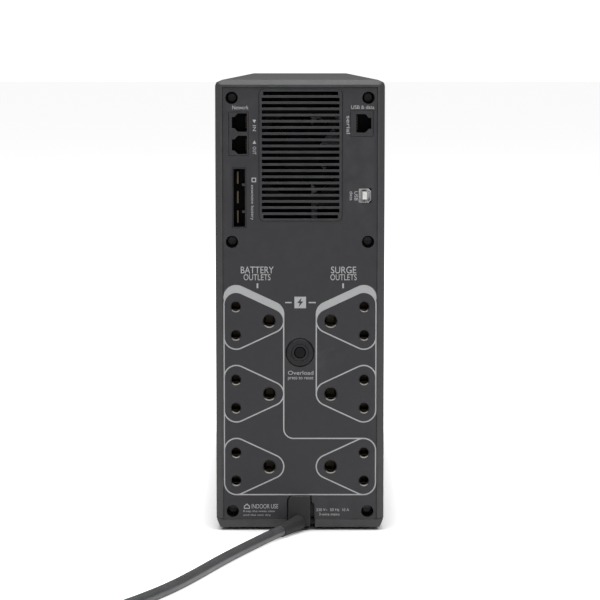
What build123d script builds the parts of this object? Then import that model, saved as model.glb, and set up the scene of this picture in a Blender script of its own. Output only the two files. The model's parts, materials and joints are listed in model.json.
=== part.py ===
"""Tower uninterruptible power supply, 1.5 kVA class, with six three-pin round-pin outlets on its rear panel.

Millimetres, +Z up. The origin is the centre of the footprint on the floor, the rear outlet panel faces -Y
and the display faces +Y. Every separate piece is written to parts/NODE.step.
"""

import math
import os

from build123d import *

# ---- overall sizes -------------------------------------------------------------------------------------
WIDTH = 112.0
DEPTH = 382.0
HEIGHT = 301.0
FOOT_HEIGHT = 2.0
WALL = 2.5
GAP = 0.2  # between pieces that seat in each other
MERGE = 0.4  # how far one form runs into the next where both are one moulding
RUNNING_GAP = 0.35  # between pieces that move past each other

REAR = -DEPTH / 2
FRONT = DEPTH / 2
HALF = WIDTH / 2

# ---- housing -------------------------------------------------------------------------------------------
FOOT_R = 9.0
FOOT_SOCKET = 1.0  # how far a foot reaches into the base
PLINTH_HEIGHT = 6.0  # the visible band of the base below the cover
PLINTH_TAPER = 2.6
COVER_BOTTOM = FOOT_HEIGHT + PLINTH_HEIGHT
EDGE_RADIUS = 4.5
BEZEL_DEPTH = 52.0
BEZEL_BACK = FRONT - BEZEL_DEPTH
FACE_WIDTH = 75.0  # flat front of the bezel, and of the roof above it
BEZEL_SHOULDER = 41.0  # how far back from the front the bezel's side facets start
FACET_DROP = 7.5  # how far the roof facets fall at the bezel's shoulder
RIM_CHAMFER = 3.2
RIM_CHAMFER_DEPTH = 2.4
RIM_FLAT = 1.5
RIM_DEPTH = 7.0
BEZEL_LIP = 4.0  # how far the bezel reaches into the cover
LIP_THICK = 2.0
BEZEL_TOP_CHAMFER = 2.0

# ---- rear panel ----------------------------------------------------------------------------------------
PANEL_THICK = 3.0
PANEL_RECESS = 0.6
PANEL_BOTTOM = COVER_BOTTOM - 0.7
PANEL_FACE = REAR + PANEL_RECESS
PANEL_BACK = PANEL_FACE + PANEL_THICK
PANEL_HALF = HALF - RIM_CHAMFER - RIM_FLAT
PANEL_TOP = HEIGHT - RIM_CHAMFER - RIM_FLAT
SCREW_X = 45.1
SCREW_ROWS = (289.2, 194.0, 12.9)
SCREW_CUP_R = 4.1
SCREW_CUP_WALL = 1.3
SCREW_CUP_DEPTH = 11.0
SCREW_CUP_FLOOR = 2.0
SCREW_R = 1.75
SCREW_HEAD_R = 3.4
SCREW_HEAD = 2.4
SCREW_LENGTH = 14.0
BOSS_HALF = 4.4
BOSS_LENGTH = 16.0
PILOT_GAP = 0.05  # how much wider a pilot hole is than the screw's core, each side
PILOT_DEPTH = BOSS_LENGTH - 3

# ---- outlets: round pins 5.08 mm at 19.05 mm, earth 7.06 mm at 22.23 mm -------------------------------
PIN_PITCH = 19.05
EARTH_REACH = 22.23
PIN_HOLE_R = 3.1
EARTH_HOLE_R = 4.0
HOLE_LEAD = 0.7
OUTLET_ROWS = (141.4, 92.4, 43.2)
PIN_X = 42.7
OUTLET_CORNER_R = 8.25
OUTLET_OUTER_X = 42.45
OUTLET_APEX_X = 18.95
OUTLET_HALF_HEIGHT = 10.95
BLOCK_DEPTH = 23.0
CONTACT_SETBACK = 5.0  # how far a contact starts behind the panel
BLOCK_BACK_WALL = 3.0
POCKET_WALL = 1.6  # how much wider a contact pocket is than its pin hole, each side
CONTACT_THICK = 0.6
CONTACT_GRIP = 0.02  # how much narrower each half of a clip is than its pin
CONTACT_WIDTH = 5.0
CONTACT_TAIL = 9.0

# ---- vent grille and fan -------------------------------------------------------------------------------
GRILLE_X = 0.4
GRILLE_Z = 251.4
GRILLE_WIDTH = 54.8
GRILLE_HEIGHT = 86.6
GRILLE_CORNER = 3.0
GRILLE_PROUD = 0.5
SLOT_COUNT = 21
SLOT_PITCH = 4.07
SLOT_HEIGHT = 2.4
SLOT_WIDTH = 51.2
FAN_SIZE = 60.0
FAN_DEPTH = 20.0
FAN_RING_R = 28.0
FAN_HUB_R = 13.0
FAN_BLADE_R = 26.8
FAN_BLADES = 7
FAN_HOLE_PITCH = 50.0
FAN_PIN_R = 1.5
FAN_ARM = 3.0
BLADE_PITCH = 38.0

# ---- ports ---------------------------------------------------------------------------------------------
JACK_WIDE = 12.2
JACK_DEEP = 6.8
JACK_LATCH = 3.0
JACK_CAVITY = 13.0
NETWORK_X = (-46.9, -34.2)
NETWORK_Z = (251.3, 279.8)
NETWORK_PORTS = (272.9, 258.2)
NETWORK_INNER_X = -35.1
DATA_X = (33.5, 48.2)
DATA_Z = (263.9, 280.7)
DATA_PORT = 272.4
DATA_INNER_X = 37.2
USB_CENTRE = (42.9, 224.8)
USB_SIZE = (8.2, 9.2)
USB_WALL = 0.4
USB_DEPTH = 13.0
DC_X = (-44.7, -35.8)
DC_Z = (203.3, 243.0)
DC_WALL = 1.6
DC_CAVITY = 15.0
DC_RIBS = (231.9, 214.0)
DC_BLADES = (210.0, 223.0, 236.0)

# ---- thermal breaker -----------------------------------------------------------------------------------
BREAKER_Z = 120.1
BREAKER_WELL_R = 9.6
BREAKER_NUT_R = 9.1
BREAKER_NECK_R = 5.7
BREAKER_BUTTON_R = 3.6
BREAKER_BODY = (15.0, 30.0, 34.0)
BREAKER_POP = 5.0

# ---- front controls ------------------------------------------------------------------------------------
FASCIA_WIDTH = 66.0
FASCIA_BOTTOM = 22.0
FASCIA_TOP = 289.0
FASCIA_THICK = 2.5
FASCIA_FACE = FRONT - 0.5
FASCIA_LEDGE = 4.0
DISPLAY_BOARD_Y = FRONT - 14.0
DISPLAY_Z = 236.0
DISPLAY_SIZE = (54.0, 50.0)
LCD_BACK = FRONT - 6.2
BUTTON_Z = 186.0
POWER_R = 8.5
SIDE_BUTTON = (13.0, 8.0)
SIDE_BUTTON_X = 20.5
BUTTON_FLANGE = 1.4
BUTTON_TRAVEL = 1.2
SWITCH_TALL = 2.4

# ---- battery, its bay and the door in the side ----------------------------------------------------------
CELL = (94.0, 151.0, 65.0)
BATTERY_X = 1.2
BATTERY_Y = 51.0
BATTERY_BOTTOM = 20.0
DOOR_Y = (-30.0, 130.0)
DOOR_Z = (15.0, 158.0)
DOOR_THICK = WALL
DOOR_CORNER = 6.0
HOOK_REACH = 3.4

# ---- power stage ---------------------------------------------------------------------------------------
CORE = (84.0, 66.0, 78.0)
CORE_Y = -110.0
CORE_BOTTOM = 10.0
STRAP_THICK = 1.5
BOARD_THICK = 1.6
BOARD_Y = (-150.0, 118.0)
BOARD_Z = (166.0, 286.0)
BOARD_X = 44.0
BOARD_SPAN = (BOARD_X, BOARD_X + BOARD_THICK)
POST_HALF = 3.5
FAN_Y = (PANEL_BACK + GAP, PANEL_BACK + GAP + FAN_DEPTH)
SINK_Z = (184.0, 274.0)
SINK_LENGTH = 60.0
SINK_FINS = 6
FIN_HALF = 0.8
CANS = [(-132, 190, 11, 32), (-132, 216, 11, 32), (-132, 242, 9, 26), (76, 190, 9, 26), (98, 190, 9, 26)]
RELAY = (20.0, 16.0, 28.0)

# ---- power cord ----------------------------------------------------------------------------------------
CORD_D = 7.5
CORD_R = CORD_D / 2
NOTCH_X = (-8.6, 9.7)
NOTCH_TOP = 24.2
NOTCH_SHOULDER = 17.9
RELIEF_X = (-8.0, 7.0)
RELIEF_PROUD = 1.5
BOOT_LENGTH = 29.0
BOOT_R = 5.0
CORD_EXIT = (-13.0, -218.0, 4.9)
CORD_ROUTE = [
    CORD_EXIT,
    (-41.5, -279.0, 3.75),
    (-70.0, -364.0, 3.75),
    (-90.0, -407.0, 3.75),
    (-113.0, -446.0, 3.75),
    (-125.0, -487.0, 3.75),
    (-128.0, -530.0, 3.75),
]
COIL_CENTRE = (-76.5, -530.0)
COIL_MID_R = 44.0
COIL_LAYERS = 2
COIL_RINGS = 3
TAIL_ROUTE = [
    (-68.0, -581.4, 12.2),
    (-49.0, -582.2, 9.2),
    (-30.0, -581.5, 7.2),
    (-11.0, -580.0, 8.0),
]
TIE_WIDTH = 14.0
TIE_THICK = 0.8
COIL_LIFT = 1.0
PLUG_THICK = 19.0
EARTH_PIN = (3.53, 20.6)
LINE_PIN = (2.54, 14.9)


# ---- helpers -------------------------------------------------------------------------------------------
def block(x, y, z):
    """A box between two values on each axis."""
    size = [abs(b - a) for a, b in (x, y, z)]
    centre = [(a + b) / 2 for a, b in (x, y, z)]
    return Pos(*centre) * Box(*size)


def rod_x(y, z, radius, x0, x1):
    """A cylinder along X."""
    return Pos((x0 + x1) / 2, y, z) * Rot(0, 90, 0) * Cylinder(radius, abs(x1 - x0))


def rod_y(x, z, radius, y0, y1):
    """A cylinder along Y."""
    return Pos(x, (y0 + y1) / 2, z) * Rot(90, 0, 0) * Cylinder(radius, abs(y1 - y0))


def cone_y(x, z, r0, y0, r1, y1):
    """A cone along Y, radius r0 at y0 and r1 at y1, with y0 below y1."""
    return Pos(x, (y0 + y1) / 2, z) * Rot(-90, 0, 0) * Cone(r0, r1, y1 - y0)


def prism_y(sketch, y0, y1):
    """A sketch in X and Z, extruded from y0 to y1."""
    plane = Plane(origin=(0, y1, 0), x_dir=(1, 0, 0), z_dir=(0, -1, 0))
    return extrude(plane * sketch, amount=y1 - y0)


def prism_x(sketch, x0, x1):
    """A sketch in Y and Z, extruded from x0 to x1."""
    plane = Plane(origin=(x0, 0, 0), x_dir=(0, 1, 0), z_dir=(1, 0, 0))
    return extrude(plane * sketch, amount=x1 - x0)


def polygon(*points):
    return make_face(Polyline(*points, close=True))


def mirrored(solid):
    """The solid and its mirror image across X = 0."""
    return [solid, mirror(solid, Plane.YZ)]


# ---- housing -------------------------------------------------------------------------------------------
def housing_section(inset=0.0, bottom=COVER_BOTTOM):
    """Cross-section of the tower: straight sides and rounded top edges."""
    half, top = HALF - inset, HEIGHT - inset
    radius = max(EDGE_RADIUS - inset, 0.6)
    face = polygon((-half, bottom), (half, bottom), (half, top), (-half, top))
    upper = [v for v in face.vertices() if v.Y > top - 1]
    return fillet(upper, radius)


def roof_facet(inset=0.0):
    """The wedge above the right roof facet, which widens from the rear corner to the front face."""
    rear_edge = Vector(HALF - EDGE_RADIUS, REAR + RIM_CHAMFER_DEPTH, HEIGHT)
    front_edge = Vector(FACE_WIDTH / 2, FRONT, HEIGHT)
    shoulder = Vector(HALF, FRONT - BEZEL_SHOULDER, HEIGHT - FACET_DROP)
    along = (front_edge - rear_edge).normalized()
    normal = along.cross(shoulder - rear_edge).normalized()
    if normal.Z < 0:
        normal = normal * -1
    origin = rear_edge - normal * inset
    plane = Plane(origin=origin, x_dir=along, z_dir=normal)
    return plane * Pos(DEPTH / 2, 0, 20) * Box(DEPTH * 1.6, 120, 40)


def cut_roof(solid, inset=0.0):
    for wedge in mirrored(roof_facet(inset)):
        solid = solid - wedge
    return solid


def screw_positions():
    return [(side * SCREW_X, z) for z in SCREW_ROWS for side in (-1, 1)]


def make_cover():
    """Top and both sides in one moulding, with the rim that frames the rear panel."""
    shell = prism_y(housing_section(), REAR + RIM_CHAMFER_DEPTH, BEZEL_BACK)
    rim_plane = Plane(origin=(0, REAR, 0), x_dir=(1, 0, 0), z_dir=(0, -1, 0))
    back_plane = rim_plane.offset(-RIM_CHAMFER_DEPTH)
    shell += loft([rim_plane * housing_section(RIM_CHAMFER), back_plane * housing_section()])
    inside = prism_y(housing_section(WALL, COVER_BOTTOM - 1), REAR + RIM_DEPTH, BEZEL_BACK + 1)
    shell = cut_roof(shell) - cut_roof(inside, WALL)
    opening = (-PANEL_HALF, PANEL_HALF)
    shell -= block(opening, (REAR - 1, REAR + RIM_DEPTH + 1), (COVER_BOTTOM - 1, PANEL_TOP))
    boss_y = PANEL_BACK + SCREW_CUP_DEPTH + GAP
    for x, z in screw_positions()[:4]:
        along = (boss_y, boss_y + BOSS_LENGTH)
        boss = block((x - BOSS_HALF, x + BOSS_HALF), along, (z - BOSS_HALF, z + BOSS_HALF))
        boss += block((x, math.copysign(HALF - WALL + MERGE, x)), along, (z - 1.5, z + 1.5))
        shell += boss - rod_y(x, z, SCREW_R + PILOT_GAP, boss_y - 1, boss_y + PILOT_DEPTH)
    for y, z in board_holes():
        across = (BOARD_X + BOARD_THICK + GAP, HALF - WALL + MERGE)
        shell += block(across, (y - POST_HALF, y + POST_HALF), (z - POST_HALF, z + POST_HALF))
    window_y = [DOOR_Y[0] - RUNNING_GAP, DOOR_Y[1] + RUNNING_GAP]
    window_z = [DOOR_Z[0] - RUNNING_GAP, DOOR_Z[1] + RUNNING_GAP]
    window = Pos(sum(window_y) / 2, sum(window_z) / 2) * RectangleRounded(
        window_y[1] - window_y[0], window_z[1] - window_z[0], DOOR_CORNER + RUNNING_GAP
    )
    return shell - prism_x(window, -HALF - 1, -HALF + WALL + 1)


def make_base_tray():
    """Plinth that carries the cover, with an upstand inside it, foot sockets and the lower screw bosses."""
    low, high = FOOT_HEIGHT, COVER_BOTTOM
    plan_low = Pos(0, 0, low) * bezel_plan(PLINTH_TAPER, REAR + 0.8)
    plan_high = Pos(0, 0, high - GAP) * bezel_plan(GAP, REAR + GAP)
    tray = loft([plan_low, plan_high])
    wall = HALF - WALL - GAP
    front = BEZEL_BACK - BEZEL_LIP - 2
    rear = PANEL_BACK + SCREW_CUP_DEPTH + GAP
    upstand = block((-wall, wall), (rear, front), (high - 2, high + 5))
    upstand -= block((-wall + 2, wall - 2), (rear + 2, front - 2), (high - 3, high + 6))
    tray += upstand
    tray -= block((-wall + 2, wall - 2), (rear + 2, front - 2), (low + WALL, high + 1))
    for y in (-1, 0, 1):
        tray += block((-wall + 2, wall - 2), (y * 80 - 1, y * 80 + 1), (low + WALL - 0.5, high))
    for x in (-CORE[0] / 2 + 8, CORE[0] / 2 - 8):
        tray += block((x - 7, x + 7), (CORE_Y - 14, CORE_Y + 14), (low + 1, CORE_BOTTOM - STRAP_THICK - GAP))
    for x, z in screw_positions()[4:]:
        tray += block((x - BOSS_HALF, x + BOSS_HALF), (rear, rear + BOSS_LENGTH), (low + 1, z + BOSS_HALF))
        tray -= rod_y(x, z, SCREW_R + PILOT_GAP, rear - 1, rear + PILOT_DEPTH)
    tray -= block((-PANEL_HALF, PANEL_HALF), (REAR - 1, rear - GAP / 2), (PANEL_BOTTOM, high + 1))
    for x, y in foot_positions():
        tray -= Pos(x, y, low) * Cylinder(FOOT_R + GAP, 2 * (FOOT_SOCKET + GAP))
    return tray - cord_notch(GAP)


def foot_positions():
    return [(x * (HALF - 17), y * (FRONT - 24)) for x in (-1, 1) for y in (-1, 1)]


def make_rubber_feet():
    tall = FOOT_HEIGHT + FOOT_SOCKET
    return [Pos(x, y, tall / 2) * Cylinder(FOOT_R, tall) for x, y in foot_positions()]


def bezel_plan(inset=0.0, back=BEZEL_BACK, front_inset=None):
    """Plan of the bezel: parallel sides, then facets that close in to the flat face."""
    front_inset = inset if front_inset is None else front_inset
    slope = (HALF - FACE_WIDTH / 2) / BEZEL_SHOULDER
    half, front = HALF - inset, FRONT - front_inset
    face = FACE_WIDTH / 2 + slope * front_inset - inset * math.hypot(1, slope)
    shoulder = front - (half - face) / slope
    right = [(half, back), (half, shoulder), (face, front)]
    left = [(-x, y) for x, y in reversed(right)]
    return polygon(*right, *left)


def make_front_bezel():
    """Faceted front moulding. Its face is cut out for the gloss fascia."""
    low, top = COVER_BOTTOM, HEIGHT
    outer = extrude(Pos(0, 0, low) * bezel_plan(), amount=top - low)
    hollow = Pos(0, 0, low + WALL) * bezel_plan(WALL, BEZEL_BACK - 1, WALL + FASCIA_THICK)
    inner = extrude(hollow, amount=top - low - 2 * WALL)
    edge = [e for e in outer.edges() if abs(e.center().Z - top) < 0.01 and abs(e.center().Y - FRONT) < 0.01]
    outer = chamfer(edge, BEZEL_TOP_CHAMFER)
    bezel = cut_roof(outer) - cut_roof(inner, WALL)
    half = HALF - WALL - GAP
    lip = block((-half, half), (BEZEL_BACK - BEZEL_LIP, BEZEL_BACK + 3), (low + 1, top - WALL - GAP))
    root = HALF - WALL + MERGE
    collar = block((-root, root), (BEZEL_BACK, BEZEL_BACK + 3), (low + 1, top - WALL + MERGE))
    lip = cut_roof(lip, WALL + GAP) + cut_roof(collar, WALL - MERGE)
    clear_x = (-half + LIP_THICK, half - LIP_THICK)
    clear = block(clear_x, (BEZEL_BACK - 9, BEZEL_BACK + 9), (low, top - WALL - GAP - LIP_THICK))
    bezel += lip - cut_roof(clear, WALL + GAP + LIP_THICK)
    pocket = fascia_outline(GAP)
    bezel -= prism_y(pocket, FRONT - FASCIA_THICK, FRONT + 1)
    bezel -= prism_y(fascia_outline(-FASCIA_LEDGE), FRONT - 12, FRONT)
    for x, z in display_posts():
        bezel += block((x - 2, x + 2), (DISPLAY_BOARD_Y + GAP, FRONT - FASCIA_THICK), (z - 2, z + 2))
    return bezel


def display_posts():
    """Four posts behind the fascia's ledge that carry the display board."""
    x = FASCIA_WIDTH / 2 - 2
    return [(side * x, z) for z in (BUTTON_Z - 10, DISPLAY_Z + 23) for side in (-1, 1)]


def fascia_outline(grow=0.0):
    height = FASCIA_TOP - FASCIA_BOTTOM + 2 * grow
    centre = (FASCIA_TOP + FASCIA_BOTTOM) / 2
    return Pos(0, centre) * RectangleRounded(FASCIA_WIDTH + 2 * grow, height, 7 + grow)


def side_button_outline(x, grow=0.0):
    wide, high = SIDE_BUTTON
    return Pos(x, BUTTON_Z) * RectangleRounded(wide + 2 * grow, high + 2 * grow, high / 2 - 0.2 + grow)


def display_outline(grow=0.0):
    wide, high = DISPLAY_SIZE
    return Pos(0, DISPLAY_Z) * RectangleRounded(wide + 2 * grow, high + 2 * grow, 3.0 + grow)


def make_fascia():
    """Gloss panel over the whole front face, with openings for the display and the three buttons."""
    plate = prism_y(fascia_outline(), FRONT - FASCIA_THICK, FASCIA_FACE)
    plate -= prism_y(display_outline(GAP), FRONT - FASCIA_THICK - 1, FRONT + 1)
    plate -= rod_y(0, BUTTON_Z, POWER_R + RUNNING_GAP, FRONT - 9, FRONT + 1)
    for x in (-SIDE_BUTTON_X, SIDE_BUTTON_X):
        plate -= prism_y(side_button_outline(x, RUNNING_GAP), FRONT - 9, FRONT + 1)
    return plate


def make_display_window():
    return prism_y(display_outline(), FRONT - FASCIA_THICK + 0.5, FASCIA_FACE - 0.1)


def make_lcd_panel():
    wide, high = DISPLAY_SIZE[0] + 4, DISPLAY_SIZE[1] + 4
    depth = (LCD_BACK, FRONT - FASCIA_THICK - GAP)
    return block((-wide / 2, wide / 2), depth, (DISPLAY_Z - high / 2, DISPLAY_Z + high / 2))


def make_display_board():
    """Circuit board behind the fascia, with the three switches that the buttons press."""
    face = DISPLAY_BOARD_Y
    half = FASCIA_WIDTH / 2
    board = block((-half, half), (face - BOARD_THICK, face), (BUTTON_Z - 14, DISPLAY_Z + 27))
    for x in (-SIDE_BUTTON_X, 0, SIDE_BUTTON_X):
        board += block((x - 3, x + 3), (face, face + SWITCH_TALL), (BUTTON_Z - 3, BUTTON_Z + 3))
    for z in (DISPLAY_Z - 23, DISPLAY_Z + 23):
        board += block((-27, 27), (face, LCD_BACK - GAP), (z - 2, z + 2))
    return board


def button(head, flange, stem_x):
    """Button cap, a flange that keeps it behind the fascia, and a stem that ends at its switch."""
    back = FRONT - FASCIA_THICK - BUTTON_TRAVEL - 0.6
    cap = prism_y(head, back, FRONT)
    cap += prism_y(flange, back - 0.8, back + MERGE)
    return cap + rod_y(stem_x, BUTTON_Z, 1.6, DISPLAY_BOARD_Y + SWITCH_TALL + BUTTON_TRAVEL + 0.3, back)


def make_power_button():
    return button(Pos(0, BUTTON_Z) * Circle(POWER_R), Pos(0, BUTTON_Z) * Circle(POWER_R + BUTTON_FLANGE), 0)


def make_side_button(x):
    return button(side_button_outline(x), side_button_outline(x, BUTTON_FLANGE), x)


# ---- battery bay ---------------------------------------------------------------------------------------
def make_battery_door():
    """Flush door in the left side, with two hooks below, a catch above and a finger scoop."""
    y, z = sum(DOOR_Y) / 2, sum(DOOR_Z) / 2
    outline = Pos(y, z) * RectangleRounded(DOOR_Y[1] - DOOR_Y[0], DOOR_Z[1] - DOOR_Z[0], DOOR_CORNER)
    door = prism_x(outline, -HALF, -HALF + DOOR_THICK)
    inner = -HALF + DOOR_THICK
    root, hook_x = inner - MERGE, inner + HOOK_REACH
    low, top = DOOR_Z
    for rib_y in (DOOR_Y[0] + 14, y, DOOR_Y[1] - 14):
        door += block((root, inner + 1.8), (rib_y - 0.9, rib_y + 0.9), (low + 8, top - 12))
    catch = block((root, inner + 1.6), (y - 9, y + 9), (top - 10, top - 0.5))
    for hook_y in (DOOR_Y[0] + 24, DOOR_Y[1] - 24):
        width = (hook_y - 6, hook_y + 6)
        door += block((root, hook_x), width, (low + 0.3, low + 3))
        door += block((inner + RUNNING_GAP, hook_x), width, (low - 1.6, low + 1))
    scoop = Pos(-HALF - 9, y, DOOR_Z[1] - 14) * Rot(90, 0, 0) * Cylinder(10.4, 34)
    return door + catch - scoop


def cell_block(bottom):
    wide, long, high = CELL
    cell = Pos(BATTERY_X, BATTERY_Y, bottom + high / 2) * Box(wide, long, high)
    return chamfer(cell.edges().filter_by(Axis.X), 2.0)


def make_battery_terminals():
    """Two blade terminals on the end of each battery."""
    tabs = []
    end = BATTERY_Y - CELL[1] / 2
    for n in (0, 1):
        z = BATTERY_BOTTOM + (CELL[2] + GAP) * n + CELL[2] / 2
        for x in (-22, 22):
            tabs.append(block((x - 3.2, x + 3.2), (end - 8, end - 0.05), (z - 0.4, z + 0.4)))
    return tabs


def make_battery_cradle():
    """Folded steel tray under the batteries, with a turned-up lip at the far side."""
    wide, long, _ = CELL
    x0, x1 = BATTERY_X - wide / 2, BATTERY_X + wide / 2
    y0, y1 = BATTERY_Y - long / 2 - 1, BATTERY_Y + long / 2 + 1
    top = BATTERY_BOTTOM - GAP
    tray = block((x0, x1 + 2.2), (y0, y1), (top - 1.2, top))
    tray += block((x1 + 1, x1 + 2.2), (y0, y1), (top - 1.2, top + 22))
    for x in (x0 + 12, x1 - 12):
        tray += block((x - 0.6, x + 0.6), (y0 + 6, y1 - 6), (COVER_BOTTOM + 0.2, top - 1))
    return tray


# ---- power stage ---------------------------------------------------------------------------------------
def make_transformer_core():
    """Laminated E-I stack: a frame with two windows and a centre leg that carries the winding."""
    wide, deep, high = CORE
    z = CORE_BOTTOM + high / 2
    core = Pos(0, CORE_Y, z) * Box(wide, deep * 0.55, high)
    for x in (-wide * 0.25, wide * 0.25):
        core -= Pos(x, CORE_Y, z) * Box(wide * 0.19, deep, high * 0.66)
    return core


def make_transformer_winding():
    """Bobbin and winding round the centre leg, a hair clear of the iron."""
    wide, deep, high = CORE
    z = CORE_BOTTOM + high / 2
    slot_inner, slot_outer = wide * 0.155, wide * 0.345
    coil = Pos(0, CORE_Y, z) * Box(2 * slot_outer - 1, deep, high * 0.64)
    coil = fillet(coil.edges().filter_by(Axis.Z), 9)
    return coil - Pos(0, CORE_Y, z) * Box(2 * slot_inner + 1, deep * 0.55 + 1, high)


def make_transformer_frame():
    """Steel strap over the stack with a foot at each side."""
    wide, deep, high = CORE
    top = CORE_BOTTOM + high
    y = (CORE_Y - deep * 0.18, CORE_Y + deep * 0.18)
    outer = wide / 2 + GAP + STRAP_THICK
    strap = block((-outer, outer), y, (CORE_BOTTOM - STRAP_THICK, top + GAP + STRAP_THICK))
    strap -= block((-wide / 2 - GAP, wide / 2 + GAP), (y[0] - 1, y[1] + 1), (CORE_BOTTOM - 0.05, top + GAP))
    return strap


def board_holes():
    return [(y, z) for y in (BOARD_Y[0] + 8, BOARD_Y[1] - 8) for z in (BOARD_Z[0] + 8, BOARD_Z[1] - 14)]


def make_main_board():
    board = block(BOARD_SPAN, BOARD_Y, BOARD_Z)
    for y, z in board_holes():
        board -= rod_x(y, z, 1.8, BOARD_X - 1, BOARD_X + BOARD_THICK + 1)
    return board


def make_heat_sink(y):
    """Extruded sink: a spine with fins that stand towards the board."""
    half = SINK_LENGTH / 2
    sink = block((8, 12), (y - half, y + half), SINK_Z)
    pitch = (SINK_LENGTH - 4 * FIN_HALF) / (SINK_FINS - 1)
    for n in range(SINK_FINS):
        fin_y = y - half + 2 * FIN_HALF + n * pitch
        sink += block((12 - MERGE, BOARD_X - GAP), (fin_y - FIN_HALF, fin_y + FIN_HALF), SINK_Z)
    return sink


def make_capacitors():
    foot = BOARD_X - GAP
    return [rod_x(y, z, radius, foot - tall, foot) for y, z, radius, tall in CANS]


def make_relays():
    tall, wide, high = RELAY
    foot = BOARD_X - GAP
    places = [(y, z) for z in (228, 262) for y in (78, 100)]
    return [Pos(foot - tall / 2, y, z) * Box(tall, wide, high) for y, z in places]


# ---- fan and grille ------------------------------------------------------------------------------------
def grille_outline(grow=0.0):
    wide, high = GRILLE_WIDTH + 2 * grow, GRILLE_HEIGHT + 2 * grow
    return Pos(GRILLE_X, GRILLE_Z) * RectangleRounded(wide, high, GRILLE_CORNER + grow)


def make_vent_grille():
    """Raised grille with a stack of level slots, set in its own opening in the panel."""
    face = REAR + PANEL_RECESS - GRILLE_PROUD
    grille = prism_y(grille_outline(), face, PANEL_BACK)
    for n in range(SLOT_COUNT):
        z = GRILLE_Z + (n - (SLOT_COUNT - 1) / 2) * SLOT_PITCH
        half = SLOT_WIDTH / 2 - (0.9 if n in (0, SLOT_COUNT - 1) else 0)
        across = (GRILLE_X - half, GRILLE_X + half)
        grille -= block(across, (face - 1, PANEL_BACK + 1), (z - SLOT_HEIGHT / 2, z + SLOT_HEIGHT / 2))
    return grille


def make_fan_frame():
    half = FAN_SIZE / 2
    y0, y1 = FAN_Y
    frame = block((-half, half), (y0, y1), (GRILLE_Z - half, GRILLE_Z + half))
    frame -= rod_y(0, GRILLE_Z, FAN_RING_R, y0 - 1, y1 + 1)
    for angle in (45, 135, 225, 315):
        arm = block((FAN_HUB_R - 2, FAN_RING_R + 1.5), (y1 - FAN_ARM, y1), (-2, 2))
        frame += Pos(0, 0, GRILLE_Z) * Rot(0, angle, 0) * arm
    frame += rod_y(0, GRILLE_Z, FAN_HUB_R, y1 - FAN_ARM, y1)
    frame += rod_y(0, GRILLE_Z, FAN_PIN_R, y0 + 4, y1 - FAN_ARM + MERGE)
    half_pitch = FAN_HOLE_PITCH / 2
    for x in (-half_pitch, half_pitch):
        for z in (GRILLE_Z - half_pitch, GRILLE_Z + half_pitch):
            frame -= rod_y(x, z, 2.1, y0 - 1, y1 + 1)
    return frame


def make_fan_rotor():
    """Cup that turns on the frame's pin, with seven pitched blades."""
    y0, y1 = FAN_Y[0] + 1.5, FAN_Y[1] - FAN_ARM - RUNNING_GAP
    rotor = rod_y(0, GRILLE_Z, FAN_HUB_R, y0, y1)
    rotor -= rod_y(0, GRILLE_Z, FAN_PIN_R + 0.06, y0 + 2, y1 + 1)
    mid = (y0 + y1) / 2
    for n in range(FAN_BLADES):
        blade = Pos((FAN_HUB_R + FAN_BLADE_R) / 2 - 0.5, 0, 0) * Rot(BLADE_PITCH, 0, 0)
        blade = blade * Box(FAN_BLADE_R - FAN_HUB_R + 1, 1.4, 14.5)
        rotor += Pos(0, mid, GRILLE_Z) * Rot(0, n * 360 / FAN_BLADES, 0) * blade
    return rotor & rod_y(0, GRILLE_Z, FAN_BLADE_R, y0, y1)


# ---- rear panel and its fittings -----------------------------------------------------------------------
def outlet_positions():
    """(name, side, row height) of the six outlets, left column first, from the top down."""
    names = [("left", -1), ("right", 1)]
    return [(f"{word}_{n + 1}", side, z) for word, side in names for n, z in enumerate(OUTLET_ROWS)]


def outlet_outline(side, z, grow=0.0):
    """Rounded triangle: two corners on the outer side and the apex towards the middle."""
    corners = [
        (side * OUTLET_OUTER_X, z + OUTLET_HALF_HEIGHT),
        (side * OUTLET_OUTER_X, z - OUTLET_HALF_HEIGHT),
        (side * OUTLET_APEX_X, z),
    ]
    return offset(polygon(*corners), amount=OUTLET_CORNER_R + grow, kind=Kind.ARC)


def pin_holes(side, z):
    """(x, z, radius) of an outlet's three pin holes, the earth hole last."""
    earth_x = PIN_X - EARTH_REACH
    return [
        (side * PIN_X, z + PIN_PITCH / 2, PIN_HOLE_R),
        (side * PIN_X, z - PIN_PITCH / 2, PIN_HOLE_R),
        (side * earth_x, z, EARTH_HOLE_R),
    ]


def cord_notch(grow=0.0):
    """The opening at the foot of the panel that the strain relief sits in."""
    left, right, top = NOTCH_X[0] - grow, NOTCH_X[1] + grow, NOTCH_TOP + grow
    shoulder, corner = RELIEF_X[1] + 0.7, 3.0
    outline = polygon(
        (left, FOOT_HEIGHT - 1),
        (right, FOOT_HEIGHT - 1),
        (right, NOTCH_SHOULDER),
        (shoulder, NOTCH_SHOULDER + 1.2),
        (shoulder, top),
        (left + corner, top),
        (left, top - corner),
    )
    return prism_y(outline, REAR - 1, PANEL_BACK + 6)


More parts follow.
